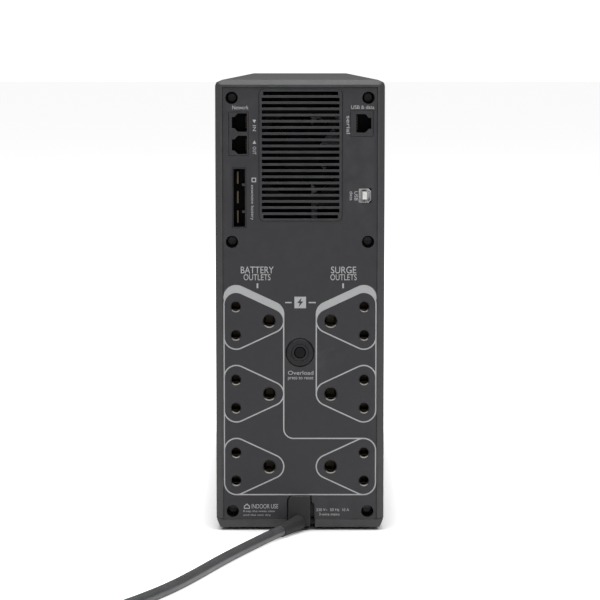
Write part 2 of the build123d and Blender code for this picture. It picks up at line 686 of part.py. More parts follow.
def make_rear_panel():
    """Flat panel with the outlet holes, port windows, screw cups, breaker well and cord notch."""
    wide = PANEL_HALF - GAP
    plate = block((-wide, wide), (PANEL_FACE, PANEL_BACK), (PANEL_BOTTOM + GAP, PANEL_TOP - GAP))
    cup, cup_y = SCREW_CUP_R + SCREW_CUP_WALL, (PANEL_BACK - MERGE, PANEL_BACK + SCREW_CUP_DEPTH)
    for x, z in screw_positions():
        plate += block((x - cup, x + cup), cup_y, (z - cup, z + cup))
    well = BREAKER_WELL_R + 1.6
    plate += Pos(0, PANEL_BACK + 1, BREAKER_Z) * Box(2 * well, 2.4, 2 * well)
    for x, z in screw_positions():
        plate -= rod_y(x, z, SCREW_CUP_R, PANEL_FACE - 1, PANEL_BACK + SCREW_CUP_DEPTH - SCREW_CUP_FLOOR)
        plate -= rod_y(x, z, SCREW_R + 0.3, PANEL_FACE, PANEL_BACK + SCREW_CUP_DEPTH + 1)
    for _, side, row in outlet_positions():
        for x, z, radius in pin_holes(side, row):
            plate -= rod_y(x, z, radius, PANEL_FACE - 1, PANEL_BACK + 1)
            plate -= cone_y(x, z, radius + HOLE_LEAD, PANEL_FACE, radius, PANEL_FACE + HOLE_LEAD)
    plate -= rod_y(0, BREAKER_Z, BREAKER_WELL_R, PANEL_FACE - 1, PANEL_BACK)
    plate -= rod_y(0, BREAKER_Z, BREAKER_NECK_R + GAP, PANEL_FACE - 1, PANEL_BACK + 5)
    through = (PANEL_FACE - 1, PANEL_BACK + 1)
    plate -= prism_y(grille_outline(GAP), *through)
    for x, z in ((NETWORK_X, NETWORK_Z), (DATA_X, DATA_Z), (DC_X, DC_Z)):
        plate -= block((x[0] - GAP, x[1] + GAP), through, (z[0] - GAP, z[1] + GAP))
    (ux, uz), (uw, uh) = USB_CENTRE, USB_SIZE
    plate -= block((ux - uw / 2 - GAP, ux + uw / 2 + GAP), through, (uz - uh / 2 - GAP, uz + uh / 2 + GAP))
    return plate - cord_notch()


def make_outlet_block(side, row):
    """Moulded body behind the panel, with a pocket for each contact and a slot for its tail."""
    y0, y1 = PANEL_BACK + 0.05, PANEL_BACK + BLOCK_DEPTH
    body = prism_y(outlet_outline(side, row, -0.25), y0, y1)
    for x, z, radius in pin_holes(side, row):
        half = radius + POCKET_WALL
        body -= block((x - half, x + half), (y0 - 1, y1 - BLOCK_BACK_WALL), (z - half, z + half))
        body -= block((x - 2.4, x + 2.4), (y1 - BLOCK_BACK_WALL - 1, y1 + 1), (z - 0.7, z + 0.7))
    return body


def make_outlet_contacts(side, row):
    """A folded brass clip for each pin: a leaf above and below it, a web and a solder tail."""
    clips = []
    y0 = PANEL_BACK + CONTACT_SETBACK
    y1 = PANEL_BACK + BLOCK_DEPTH - BLOCK_BACK_WALL - 0.3
    pins = (LINE_PIN, LINE_PIN, EARTH_PIN)
    for (x, z, _), (pin_radius, _) in zip(pin_holes(side, row), pins):
        inner = pin_radius - CONTACT_GRIP
        outer, half = inner + CONTACT_THICK, CONTACT_WIDTH / 2
        clip = block((x - half, x + half), (y0, y1), (z - outer, z + outer))
        clip -= block((x - half - 1, x + half + 1), (y0 - 1, y1 - CONTACT_THICK), (z - inner, z + inner))
        clip += block((x - 2.0, x + 2.0), (y1 - 0.1, y1 + CONTACT_TAIL), (z - 0.4, z + 0.4))
        clips.append(clip)
    return clips


def jack_opening(inner_x, side, z):
    """Opening of a modular jack, its latch notch pointing towards -X (side -1) or +X (side 1)."""
    half, main = JACK_WIDE / 2, JACK_DEEP
    points = [
        (0, half),
        (main - 0.9, half),
        (main + 1.3, half * 0.6),
        (main + JACK_LATCH, half * 0.6),
        (main + JACK_LATCH, -half * 0.6),
        (main + 1.3, -half * 0.6),
        (main - 0.9, -half),
        (0, -half),
    ]
    return polygon(*[(inner_x + side * x, z + dz) for x, dz in points])


def make_network_jacks():
    """Two modular jacks in one housing."""
    body = block(NETWORK_X, (PANEL_FACE, PANEL_BACK + 15), NETWORK_Z)
    for z in NETWORK_PORTS:
        body -= prism_y(jack_opening(NETWORK_INNER_X, -1, z), PANEL_FACE - 1, PANEL_FACE + JACK_CAVITY)
    return body


def make_data_jack():
    body = block(DATA_X, (PANEL_FACE, PANEL_BACK + 15), DATA_Z)
    return body - prism_y(jack_opening(DATA_INNER_X, 1, DATA_PORT), PANEL_FACE - 1, PANEL_FACE + JACK_CAVITY)


def make_jack_contacts():
    """Sprung wires along the wall opposite each latch notch."""
    wires = []
    along = (PANEL_FACE + 7, PANEL_FACE + JACK_CAVITY - 0.1)
    ports = [(NETWORK_INNER_X, -1, z, 8) for z in NETWORK_PORTS] + [(DATA_INNER_X, 1, DATA_PORT, 10)]
    for inner_x, side, port_z, count in ports:
        for n in range(count):
            z = port_z + (n - (count - 1) / 2) * 1.02
            x0, x1 = inner_x + side * 0.3, inner_x + side * 1.0
            wires.append(block((x0, x1), along, (z - 0.2, z + 0.2)))
    return wires


def make_usb_socket():
    (x, z), (wide, high) = USB_CENTRE, USB_SIZE
    left, right, low, top, cut = x - wide / 2, x + wide / 2, z - high / 2, z + high / 2, 1.6
    bevelled = [(right - cut, low), (right, low + cut), (right, top - cut), (right - cut, top)]
    outline = polygon((left, low), *bevelled, (left, top))
    hollow = offset(outline, amount=-USB_WALL, kind=Kind.INTERSECTION)
    shell = prism_y(outline, PANEL_FACE + 0.3, PANEL_FACE + USB_DEPTH)
    return shell - prism_y(hollow, PANEL_FACE - 1, PANEL_FACE + USB_DEPTH - 1.2)


def make_usb_tongue():
    x, z = USB_CENTRE
    return block((x - 1.5, x + 1.5), (PANEL_FACE + 1.2, PANEL_FACE + USB_DEPTH - 1.3), (z - 2.7, z + 2.7))


def make_battery_port():
    """Shrouded connector for an extension battery, with two keying ribs on its right wall."""
    wall = DC_WALL
    body = block(DC_X, (PANEL_FACE + 0.2, PANEL_BACK + MERGE), DC_Z)
    flange_z = (DC_Z[0] - wall, DC_Z[1] + wall)
    body += block((DC_X[0] - 1, DC_X[1] + wall), (PANEL_BACK + 0.05, PANEL_BACK + 18), flange_z)
    inner_x = (DC_X[0] + 0.6, DC_X[1] - 0.6)
    body -= block(inner_x, (PANEL_FACE - 1, PANEL_FACE + DC_CAVITY), (DC_Z[0] + 0.6, DC_Z[1] - 0.6))
    for z in DC_RIBS:
        rib_x, rib_y = (DC_X[1] - 2.6, DC_X[1] - 0.5), (PANEL_FACE + 0.6, PANEL_FACE + DC_CAVITY + 1)
        body += block(rib_x, rib_y, (z - 0.8, z + 0.8))
    return body


def make_battery_port_contacts():
    """Three blades at the bottom of the extension battery port."""
    x = (DC_X[0] + DC_X[1]) / 2 - 1.2
    y = PANEL_FACE + DC_CAVITY
    return [block((x - 0.5, x + 0.5), (y - 4, y - 0.05), (z - 4, z + 4)) for z in DC_BLADES]


def make_breaker_body():
    """Thermal breaker: a case behind the panel and a bush through it."""
    wide, high, deep = BREAKER_BODY
    y0 = PANEL_BACK + 2.4
    body = block((-wide / 2, wide / 2), (y0, y0 + deep), (BREAKER_Z - high / 2, BREAKER_Z + high / 2))
    body += rod_y(0, BREAKER_Z, BREAKER_NECK_R, REAR + 0.2, y0 + 1)
    return body - rod_y(0, BREAKER_Z, BREAKER_BUTTON_R + RUNNING_GAP, REAR - 1, y0 + 14)


def make_breaker_nut():
    nut = rod_y(0, BREAKER_Z, BREAKER_NUT_R, REAR, PANEL_BACK - 0.1)
    nut = chamfer(nut.edges().group_by(Axis.Y)[0], 0.5)
    return nut - rod_y(0, BREAKER_Z, BREAKER_NECK_R + 0.1, REAR - 1, PANEL_BACK + 1)


def make_breaker_button():
    """Reset button, level with the bush while the breaker is set. It pops out when the breaker trips."""
    tip = rod_y(0, BREAKER_Z, BREAKER_BUTTON_R, REAR + 0.4, PANEL_BACK + 12)
    return chamfer(tip.edges().group_by(Axis.Y)[0], 0.4)


def make_rear_screws():
    """Six screws whose heads sit at the bottom of the panel's cups."""
    screws = []
    seat = PANEL_BACK + SCREW_CUP_DEPTH - SCREW_CUP_FLOOR
    for x, z in screw_positions():
        head = rod_y(x, z, SCREW_HEAD_R, seat - SCREW_HEAD, seat - 0.02)
        screws.append(head + rod_y(x, z, SCREW_R, seat - 0.1, seat + SCREW_LENGTH - 1.5))
    return screws


# ---- power cord ----------------------------------------------------------------------------------------
def cord_direction():
    first, second = Vector(*CORD_ROUTE[0]), Vector(*CORD_ROUTE[1])
    return (second - first).normalized()


def make_strain_relief():
    """Moulded block clamped in the panel's notch, and a tapered boot that leads the cord away to the left."""
    face, top = REAR - RELIEF_PROUD, NOTCH_TOP - 0.7
    low = FOOT_HEIGHT + 0.8
    body = block(RELIEF_X, (face, PANEL_BACK + 4), (low, top))
    corner = body.edges().filter_by(Axis.Y).group_by(Axis.Z)[-1].sort_by(Axis.X)[0]
    body = fillet(corner, 4.0)
    body = chamfer(body.edges().group_by(Axis.Y)[0], 0.5)
    ear = (NOTCH_X[0] - 2, NOTCH_X[1] + 2)
    body += block(ear, (PANEL_BACK + GAP, PANEL_BACK + 3), (COVER_BOTTOM + GAP, NOTCH_SHOULDER))
    along = cord_direction()
    root = Vector(*CORD_EXIT) - along * BOOT_LENGTH
    root_plane = Plane(origin=root, z_dir=along)
    boot = loft([root_plane * Circle(BOOT_R), root_plane.offset(BOOT_LENGTH) * Circle(CORD_R + 0.45)])
    boot &= block((-60, 60), (REAR - 60, face + 1), (0.2, 40))
    return body + boot


def smooth_path(points):
    """Straight runs joined by the largest tangent arcs that fit, with the radii used."""
    vectors = [Vector(*p) for p in points]
    runs = [b - a for a, b in zip(vectors, vectors[1:])]
    radii = []
    for before, after in zip(runs, runs[1:]):
        turn = math.radians(before.get_angle(after))
        radii.append(0.45 * min(before.length, after.length) / math.tan(turn / 2))
    return FilletPolyline(*vectors, radius=radii), radii


def cord_tube(points):
    path, radii = smooth_path(points)
    start = Plane(origin=path @ 0, z_dir=path % 0)
    print("cord radii", [round(r) for r in radii], "length", round(path.length, 1))
    tube = sweep(start * Circle(CORD_R), path=path)
    print("volume ratio", round(tube.volume / (math.pi * CORD_R**2 * path.length), 4))
    return tube


def coil_box():
    """(inner radius, outer radius, height) of the wound coil."""
    band = COIL_RINGS * CORD_D
    return COIL_MID_R - band / 2, COIL_MID_R + band / 2, COIL_LAYERS * CORD_D


def make_coil():
    """Outer shape of the wound turns, lifted by the strap that passes under it."""
    inner, outer, high = coil_box()
    low, top = COIL_LIFT, COIL_LIFT + high
    profile = polygon((inner, low), (outer, low), (outer, top), (inner, top))
    return Pos(*COIL_CENTRE) * revolve(Plane.XZ * profile, Axis.Z)


def make_coil_tie():
    """Hook-and-loop strap round the coil, on the side that faces the housing."""
    inner, outer, high = coil_box()
    x, y = COIL_CENTRE
    slack = 0.1
    across = (x - TIE_WIDTH / 2, x + TIE_WIDTH / 2)
    near = y + math.sqrt(inner**2 - (TIE_WIDTH / 2) ** 2) - slack
    far = y + outer + slack
    low, top = COIL_LIFT - slack, COIL_LIFT + high + slack
    thick = TIE_THICK
    loop = block(across, (near - thick, far + thick), (low - thick, top + thick))
    return loop - block((across[0] - 1, across[1] + 1), (near, far), (low, top))


def plug_outline():
    """Plan of the plug body, its cord end towards -X."""
    corners = [(7, 9), (7, -9), (30, 0)]
    return offset(polygon(*corners), amount=10, kind=Kind.ARC)


def plug_frame():
    return Pos(*TAIL_ROUTE[-1]) * Pos(0, 0, PLUG_THICK / 2 - TAIL_ROUTE[-1][2])


def make_plug_body():
    """Moulded three-pin plug on its back, its pins upwards, with a short boot round the cord."""
    low = -PLUG_THICK / 2
    body = extrude(Pos(4, 0, low) * plug_outline(), amount=PLUG_THICK)
    body = chamfer(body.edges().group_by(Axis.Z)[0], 1.6)
    entry = TAIL_ROUTE[-1][2] - PLUG_THICK / 2
    boot = Pos(1.5, 0, entry) * Rot(0, 90, 0) * Cone(CORD_R + 0.9, 6.2, 9)
    return plug_frame() * (body + boot)


def make_plug_pins():
    """Two line pins and the longer earth pin, standing on the plug's face."""
    pins = []
    for x, y, (radius, length) in (
        (12.0, PIN_PITCH / 2, LINE_PIN),
        (12.0, -PIN_PITCH / 2, LINE_PIN),
        (12.0 + EARTH_REACH, 0.0, EARTH_PIN),
    ):
        pin = Pos(x, y, PLUG_THICK / 2 + length / 2 + 0.02) * Cylinder(radius, length)
        pins.append(plug_frame() * chamfer(pin.edges().group_by(Axis.Z)[-1], 0.8))
    return pins


# ---- assembly ------------------------------------------------------------------------------------------
def build():
    coil = make_coil()
    plug = make_plug_body()
    _, outer, high = coil_box()
    keep_out = Pos(*COIL_CENTRE) * Cylinder(outer, high * 4)
    lead = cord_tube(CORD_ROUTE) - keep_out
    tail = cord_tube(TAIL_ROUTE) - keep_out - plug
    nodes = {
        "cover": make_cover(),
        "base_tray": make_base_tray(),
        "rubber_feet": make_rubber_feet(),
        "front_bezel": make_front_bezel(),
        "fascia": make_fascia(),
        "display_window": make_display_window(),
        "lcd_panel": make_lcd_panel(),
        "display_board": make_display_board(),
        "power_button": make_power_button(),
        "mute_button": make_side_button(-SIDE_BUTTON_X),
        "menu_button": make_side_button(SIDE_BUTTON_X),
        "battery_door": make_battery_door(),
        "battery_lower": cell_block(BATTERY_BOTTOM),
        "battery_upper": cell_block(BATTERY_BOTTOM + CELL[2] + GAP),
        "battery_terminals": make_battery_terminals(),
        "battery_cradle": make_battery_cradle(),
        "transformer_core": make_transformer_core(),
        "transformer_winding": make_transformer_winding(),
        "transformer_strap": make_transformer_frame(),
        "main_board": make_main_board(),
        "heat_sink_rear": make_heat_sink(-78),
        "heat_sink_front": make_heat_sink(4),
        "capacitors": make_capacitors(),
        "relays": make_relays(),
        "rear_panel": make_rear_panel(),
        "vent_grille": make_vent_grille(),
        "fan_frame": make_fan_frame(),
        "fan_rotor": make_fan_rotor(),
        "network_jacks": make_network_jacks(),
        "data_jack": make_data_jack(),
        "jack_contacts": make_jack_contacts(),
        "usb_socket": make_usb_socket(),
        "usb_tongue": make_usb_tongue(),
        "battery_port": make_battery_port(),
        "battery_port_contacts": make_battery_port_contacts(),
        "breaker_body": make_breaker_body(),
        "breaker_nut": make_breaker_nut(),
        "breaker_button": make_breaker_button(),
        "rear_screws": make_rear_screws(),
        "strain_relief": make_strain_relief(),
        "power_cord": [lead, tail],
        "cord_coil": coil,
        "coil_tie": make_coil_tie(),
        "plug_body": plug,
        "plug_pins": make_plug_pins(),
    }
    for name, side, row in outlet_positions():
        nodes[f"outlet_block_{name}"] = make_outlet_block(side, row)
        nodes[f"outlet_contacts_{name}"] = make_outlet_contacts(side, row)
    return nodes


def write(nodes):
    os.makedirs("parts", exist_ok=True)
    for name, shape in nodes.items():
        solids = shape if isinstance(shape, list) else [shape]
        solids = [s for piece in solids for s in piece.solids()]
        export_step(solids[0] if len(solids) == 1 else Compound(children=solids), f"parts/{name}.step")


write(build())
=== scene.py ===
import json
import math

import bpy
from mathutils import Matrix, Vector

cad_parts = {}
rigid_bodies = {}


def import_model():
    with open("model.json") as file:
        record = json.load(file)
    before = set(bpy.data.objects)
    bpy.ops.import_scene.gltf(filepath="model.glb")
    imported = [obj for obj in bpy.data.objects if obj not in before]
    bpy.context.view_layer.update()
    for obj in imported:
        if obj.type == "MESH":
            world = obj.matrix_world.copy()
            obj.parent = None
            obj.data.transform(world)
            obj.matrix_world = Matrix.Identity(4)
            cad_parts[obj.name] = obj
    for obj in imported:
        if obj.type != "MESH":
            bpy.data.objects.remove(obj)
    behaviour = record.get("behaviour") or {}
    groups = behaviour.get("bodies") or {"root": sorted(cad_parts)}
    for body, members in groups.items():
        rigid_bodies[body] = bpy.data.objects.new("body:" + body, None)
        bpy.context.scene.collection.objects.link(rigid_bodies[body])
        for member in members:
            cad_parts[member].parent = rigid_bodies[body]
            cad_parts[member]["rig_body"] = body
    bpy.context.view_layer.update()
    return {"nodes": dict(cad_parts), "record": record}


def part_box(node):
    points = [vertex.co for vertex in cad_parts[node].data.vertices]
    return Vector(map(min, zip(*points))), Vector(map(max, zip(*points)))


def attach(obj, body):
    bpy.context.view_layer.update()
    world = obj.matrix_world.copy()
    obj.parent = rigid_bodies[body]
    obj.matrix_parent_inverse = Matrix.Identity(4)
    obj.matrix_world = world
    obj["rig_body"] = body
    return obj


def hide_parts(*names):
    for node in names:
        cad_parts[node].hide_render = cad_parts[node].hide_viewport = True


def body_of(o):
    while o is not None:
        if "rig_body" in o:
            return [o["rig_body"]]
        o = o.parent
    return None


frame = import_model()
nodes = frame["nodes"]

MM = 0.001

# ---- driving places, from the frame --------------------------------------------------------------------
PANEL_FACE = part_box("rear_panel")[0].y
COVER_LO, COVER_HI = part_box("cover")
REAR = COVER_LO.y
SLOT = {part["node"]: part["material_slot"] for part in frame["record"]["subparts"]}

# ---- cord: the route of the solid tube, in metres, then the turns of the coil ---------------------------
CORD_DIAMETER = 0.0075
CORD_ROUTE = [
    (-0.0130, -0.2180, 0.00490),
    (-0.0415, -0.2790, 0.00375),
    (-0.0700, -0.3640, 0.00375),
    (-0.0900, -0.4070, 0.00375),
    (-0.1130, -0.4460, 0.00375),
    (-0.1250, -0.4870, 0.00375),
    (-0.1280, -0.5300, 0.00375),
]
TAIL_ROUTE = [
    (-0.0490, -0.5822, 0.0092),
    (-0.0300, -0.5815, 0.0072),
    (-0.0110, -0.5800, 0.0080),
]


# ---- small tools ---------------------------------------------------------------------------------------
def deselect():
    bpy.ops.object.select_all(action="DESELECT")


def activate(piece):
    deselect()
    piece.select_set(True)
    bpy.context.view_layer.objects.active = piece


def settle(piece):
    """Puts a piece's place, turn and scale into its mesh, so its object sits at the origin."""
    activate(piece)
    bpy.ops.object.transform_apply(location=True, rotation=True, scale=True)


def give(piece, material):
    piece.data.materials.clear()
    piece.data.materials.append(material)


def add_object(name, data):
    thing = bpy.data.objects.new(name, data)
    bpy.context.scene.collection.objects.link(thing)
    return thing


def join(pieces, name):
    activate(pieces[0])
    for piece in pieces:
        piece.select_set(True)
    if len(pieces) > 1:
        bpy.ops.object.join()
    whole = bpy.context.object
    whole.name = name
    return whole


def link(tree, source, target):
    tree.links.new(source, target)


# ---- materials -----------------------------------------------------------------------------------------
def new_group(name, inputs, outputs):
    """An empty shader group with named float or colour sockets, and its input and output nodes."""
    group = bpy.data.node_groups.new(name, "ShaderNodeTree")
    for label, kind, value in inputs:
        socket = group.interface.new_socket(label, in_out="INPUT", socket_type=kind)
        socket.default_value = value
    for label, kind in outputs:
        group.interface.new_socket(label, in_out="OUTPUT", socket_type=kind)
    start = group.nodes.new("NodeGroupInput")
    end = group.nodes.new("NodeGroupOutput")
    return group, start, end


def noise(tree, vector, scale, detail=2.0, roughness=0.5):
    node = tree.nodes.new("ShaderNodeTexNoise")
    node.inputs["Scale"].default_value = scale
    node.inputs["Detail"].default_value = detail
    node.inputs["Roughness"].default_value = roughness
    link(tree, vector, node.inputs["Vector"])
    return node.outputs["Fac"]


def remap(tree, value, low, high, to_low=0.0, to_high=1.0):
    node = tree.nodes.new("ShaderNodeMapRange")
    for label, number in zip(("From Min", "From Max", "To Min", "To Max"), (low, high, to_low, to_high)):
        node.inputs[label].default_value = number
    link(tree, value, node.inputs["Value"])
    return node.outputs["Result"]


def math_node(tree, operation, a, b):
    node = tree.nodes.new("ShaderNodeMath")
    node.operation = operation
    for socket, value in zip(node.inputs, (a, b)):
        if isinstance(value, (int, float)):
            socket.default_value = value
        else:
            link(tree, value, socket)
    return node.outputs[0]


def mix_colour(tree, factor, a, b, blend="MIX"):
    node = tree.nodes.new("ShaderNodeMix")
    node.data_type = "RGBA"
    node.blend_type = blend
    for socket, value in ((node.inputs[0], factor), (node.inputs[6], a), (node.inputs[7], b)):
        if isinstance(value, (int, float)):
            socket.default_value = value
        elif isinstance(value, tuple):
            socket.default_value = (*value, 1.0)
        else:
            link(tree, value, socket)
    return node.outputs[2]


def build_moulded_grain():
    """Spark-eroded mould texture: a fine height, a mottled colour and an uneven roughness."""
    group, start, end = new_group(
        "moulded_grain",
        [
            ("Vector", "NodeSocketVector", (0.0, 0.0, 0.0)),
            ("Color", "NodeSocketColor", (0.04, 0.04, 0.045, 1.0)),
            ("Grain Scale", "NodeSocketFloat", 1400.0),
            ("Mottle", "NodeSocketFloat", 0.10),
            ("Roughness", "NodeSocketFloat", 0.5),
        ],
        [("Color", "NodeSocketColor"), ("Roughness", "NodeSocketFloat"), ("Height", "NodeSocketFloat")],
    )
    vector = start.outputs["Vector"]
    grain = group.nodes.new("ShaderNodeTexNoise")
    grain.inputs["Detail"].default_value = 2.0
    link(group, vector, grain.inputs["Vector"])
    link(group, start.outputs["Grain Scale"], grain.inputs["Scale"])
    blotch = noise(group, vector, 38.0, 3.0, 0.6)
    fine = remap(group, grain.outputs["Fac"], 0.3, 0.7, -0.5, 0.5)
    broad = remap(group, blotch, 0.3, 0.7, -0.5, 0.5)
    sway = math_node(group, "ADD", fine, broad)
    gain = math_node(group, "MULTIPLY", sway, start.outputs["Mottle"])
    factor = math_node(group, "ADD", gain, 1.0)
    shade = group.nodes.new("ShaderNodeVectorMath")
    shade.operation = "SCALE"
    link(group, start.outputs["Color"], shade.inputs[0])
    link(group, factor, shade.inputs["Scale"])
    link(group, shade.outputs[0], end.inputs["Color"])
    swing = math_node(group, "MULTIPLY", broad, 0.12)
    link(group, math_node(group, "ADD", swing, start.outputs["Roughness"]), end.inputs["Roughness"])
    link(group, grain.outputs["Fac"], end.inputs["Height"])
    return group


def build_edge_wear():
    """Where the surface turns sharply outwards, a mask for paler rubbed edges."""
    group, start, end = new_group(
        "edge_wear",
        [("Vector", "NodeSocketVector", (0.0, 0.0, 0.0)), ("Amount", "NodeSocketFloat", 0.5)],
        [("Mask", "NodeSocketFloat")],
    )
    geometry = group.nodes.new("ShaderNodeNewGeometry")
    ridge = remap(group, geometry.outputs["Pointiness"], 0.51, 0.60)
    patchy = remap(group, noise(group, start.outputs["Vector"], 120.0, 3.0), 0.35, 0.65)
    both = math_node(group, "MULTIPLY", ridge, patchy)
    link(group, math_node(group, "MULTIPLY", both, start.outputs["Amount"]), end.inputs["Mask"])
    return group


def build_dust():
    """Settled dust: a mask on faces that look up, broken up by noise."""
    group, start, end = new_group(
        "dust",
        [("Vector", "NodeSocketVector", (0.0, 0.0, 0.0)), ("Amount", "NodeSocketFloat", 0.1)],
        [("Mask", "NodeSocketFloat")],
    )
    geometry = group.nodes.new("ShaderNodeNewGeometry")
    split = group.nodes.new("ShaderNodeSeparateXYZ")
    link(group, geometry.outputs["Normal"], split.inputs[0])
    upward = remap(group, split.outputs["Z"], 0.3, 1.0)
    specks = remap(group, noise(group, start.outputs["Vector"], 260.0, 4.0, 0.7), 0.42, 0.72)
    both = math_node(group, "MULTIPLY", upward, specks)
    link(group, math_node(group, "MULTIPLY", both, start.outputs["Amount"]), end.inputs["Mask"])
    return group


GRAIN, WEAR, DUST = build_moulded_grain(), build_edge_wear(), build_dust()
DUST_COLOUR = (0.30, 0.29, 0.27)
RUBBED_GAIN, RUBBED_LIFT = 1.9, 0.012
TARNISH_SHARE = 0.55
PLASTIC_GRAIN_HEIGHT, METAL_GRAIN_HEIGHT = 0.0004, 0.0002
METAL_GRAIN = 600.0


def new_material(name):
    material = bpy.data.materials.new(name)
    material.use_nodes = True
    tree = material.node_tree
    return material, tree, tree.nodes["Principled BSDF"]


def place_on_piece(tree):
    return tree.nodes.new("ShaderNodeTexCoord").outputs["Object"]


def group_node(tree, group, **values):
    node = tree.nodes.new("ShaderNodeGroup")
    node.node_tree = group
    for label, value in values.items():
        node.inputs[label.replace("_", " ")].default_value = value
    return node


def add_relief(tree, shader, skin, strength, height):
    """Raises the surface by the grain's height."""
    bump = tree.nodes.new("ShaderNodeBump")
    bump.inputs["Strength"].default_value = strength
    bump.inputs["Distance"].default_value = height
    link(tree, skin.outputs["Height"], bump.inputs["Height"])
    link(tree, bump.outputs["Normal"], shader.inputs["Normal"])


def moulded_plastic(
    name, colour, roughness, grain=1400.0, depth=0.04, mottle=0.10, wear=0.35, dust=0.06, shine=0.5
):
    """Textured or polished moulded plastic in one colour, with rubbed edges and a little dust."""
    material, tree, shader = new_material(name)
    place = place_on_piece(tree)
    skin = group_node(
        tree, GRAIN, Color=(*colour, 1.0), Grain_Scale=grain, Mottle=mottle, Roughness=roughness
    )
    rubbed = group_node(tree, WEAR, Amount=wear)
    settled = group_node(tree, DUST, Amount=dust)
    for node in (skin, rubbed, settled):
        link(tree, place, node.inputs["Vector"])
    pale = tuple(min(1.0, c * RUBBED_GAIN + RUBBED_LIFT) for c in colour)
    worn = mix_colour(tree, rubbed.outputs["Mask"], skin.outputs["Color"], pale)
    dusty = mix_colour(tree, settled.outputs["Mask"], worn, DUST_COLOUR)
    link(tree, dusty, shader.inputs["Base Color"])
    shader.inputs["Specular IOR Level"].default_value = shine
    link(tree, skin.outputs["Roughness"], shader.inputs["Roughness"])
    add_relief(tree, shader, skin, depth, PLASTIC_GRAIN_HEIGHT)
    return material


def metal(name, colour, roughness, tarnish=0.25):
    """Plated or drawn metal with a fine grain and patches of duller tone."""
    material, tree, shader = new_material(name)
    shader.inputs["Metallic"].default_value = 1.0
    place = place_on_piece(tree)
    skin = group_node(
        tree, GRAIN, Color=(*colour, 1.0), Grain_Scale=METAL_GRAIN, Mottle=0.12, Roughness=roughness
    )
    link(tree, place, skin.inputs["Vector"])
    patch = remap(tree, noise(tree, place, 90.0, 4.0, 0.6), 0.45, 0.75, 0.0, tarnish)
    dull = tuple(c * TARNISH_SHARE for c in colour)
    link(tree, mix_colour(tree, patch, skin.outputs["Color"], dull), shader.inputs["Base Color"])
    link(tree, skin.outputs["Roughness"], shader.inputs["Roughness"])
    add_relief(tree, shader, skin, 0.03, METAL_GRAIN_HEIGHT)
    return material


def tinted_glass(name, colour, roughness):
    """Smoked window: plain glass with a faint unevenness in its polish."""
    material, tree, shader = new_material(name)
    shader.inputs["Base Color"].default_value = (*colour, 1.0)
    shader.inputs["Transmission Weight"].default_value = 1.0
    shader.inputs["IOR"].default_value = 1.3
    place = place_on_piece(tree)
    smear = remap(tree, noise(tree, place, 60.0, 3.0), 0.3, 0.7, roughness, roughness + 0.05)
    link(tree, smear, shader.inputs["Roughness"])
    return material


CASE = moulded_plastic("case_texture", (0.036, 0.036, 0.038), 0.46, mottle=0.05)
PANEL = moulded_plastic("panel_texture", (0.0215, 0.021, 0.0245), 0.52, mottle=0.05)
# Pale colour for the pin-hole lips: a painted highlight, given only to lip faces that tilt up towards the
# top light.
LIP_GLINT = moulded_plastic("hole_lip_painted_glint", (0.22, 0.205, 0.18), 0.3, wear=0.0)
GLOSS = moulded_plastic("polished_fascia", (0.006, 0.006, 0.008), 0.08, depth=0.0, mottle=0.02, wear=0.1)
BUTTON = moulded_plastic("button_satin", (0.05, 0.05, 0.055), 0.3, grain=2400, depth=0.02)
PORT = moulded_plastic("port_housing", (0.022, 0.022, 0.024), 0.42, grain=2000, depth=0.02, wear=0.5)
# Near-black with little shine: painted shade inside the sockets, and the fan's own black darkened further
# as painted shade behind the grille.
PAINTED_SHADE_BLACK = moulded_plastic(
    "fan_black_painted_shade", (0.003, 0.003, 0.0034), 0.7, grain=2000, depth=0.02, wear=0.2, dust=0.01, shine=0.15
)
BREAKER = moulded_plastic(
    "breaker_bakelite", (0.010, 0.0105, 0.012), 0.4, grain=2000, depth=0.02, shine=0.35
)
RESET = moulded_plastic("reset_cap", (0.003, 0.003, 0.004), 0.5, grain=2000, depth=0.02, shine=0.2)
LCD_INK = moulded_plastic("lcd_segments", (0.012, 0.016, 0.016), 0.4, depth=0.0, dust=0.0)
WHITE = moulded_plastic("port_white", (0.72, 0.72, 0.69), 0.4, grain=2000, depth=0.01, dust=0.0)
RUBBER = moulded_plastic("feet_rubber", (0.016, 0.016, 0.017), 0.7, grain=900, depth=0.08)
JACKET = moulded_plastic("cord_jacket", (0.057, 0.058, 0.060), 0.32, grain=800, depth=0.05)
TAPE = moulded_plastic("hook_and_loop", (0.015, 0.015, 0.016), 0.9, grain=2600, depth=0.5)
INK = moulded_plastic(
    "printed_ink", (0.40, 0.405, 0.41), 0.55, grain=3000, depth=0.02, mottle=0.08, wear=0.0, dust=0.0
)
BOARD = moulded_plastic("circuit_board", (0.01, 0.09, 0.04), 0.35, grain=500, depth=0.02)
CELL = moulded_plastic("battery_case", (0.045, 0.045, 0.05), 0.5)
RELAY = moulded_plastic("relay_case", (0.02, 0.06, 0.2), 0.35)
SLEEVE = moulded_plastic("capacitor_sleeve", (0.015, 0.02, 0.07), 0.25)
WINDING = moulded_plastic("winding_tape", (0.42, 0.19, 0.06), 0.45, grain=300, depth=0.2)
LCD = moulded_plastic("lcd_glass", (0.30, 0.38, 0.36), 0.25, depth=0.0)
STEEL = metal("zinc_steel", (0.58, 0.58, 0.56), 0.35)
CORE = metal("core_steel", (0.16, 0.15, 0.14), 0.5)
FIN = metal("fin_aluminium", (0.62, 0.63, 0.65), 0.4)
TIN = metal("port_steel", (0.66, 0.66, 0.66), 0.25)
GOLD = metal("gold_contact", (0.13, 0.10, 0.05), 0.5)
BRASS = metal("pin_brass", (0.74, 0.66, 0.46), 0.25)
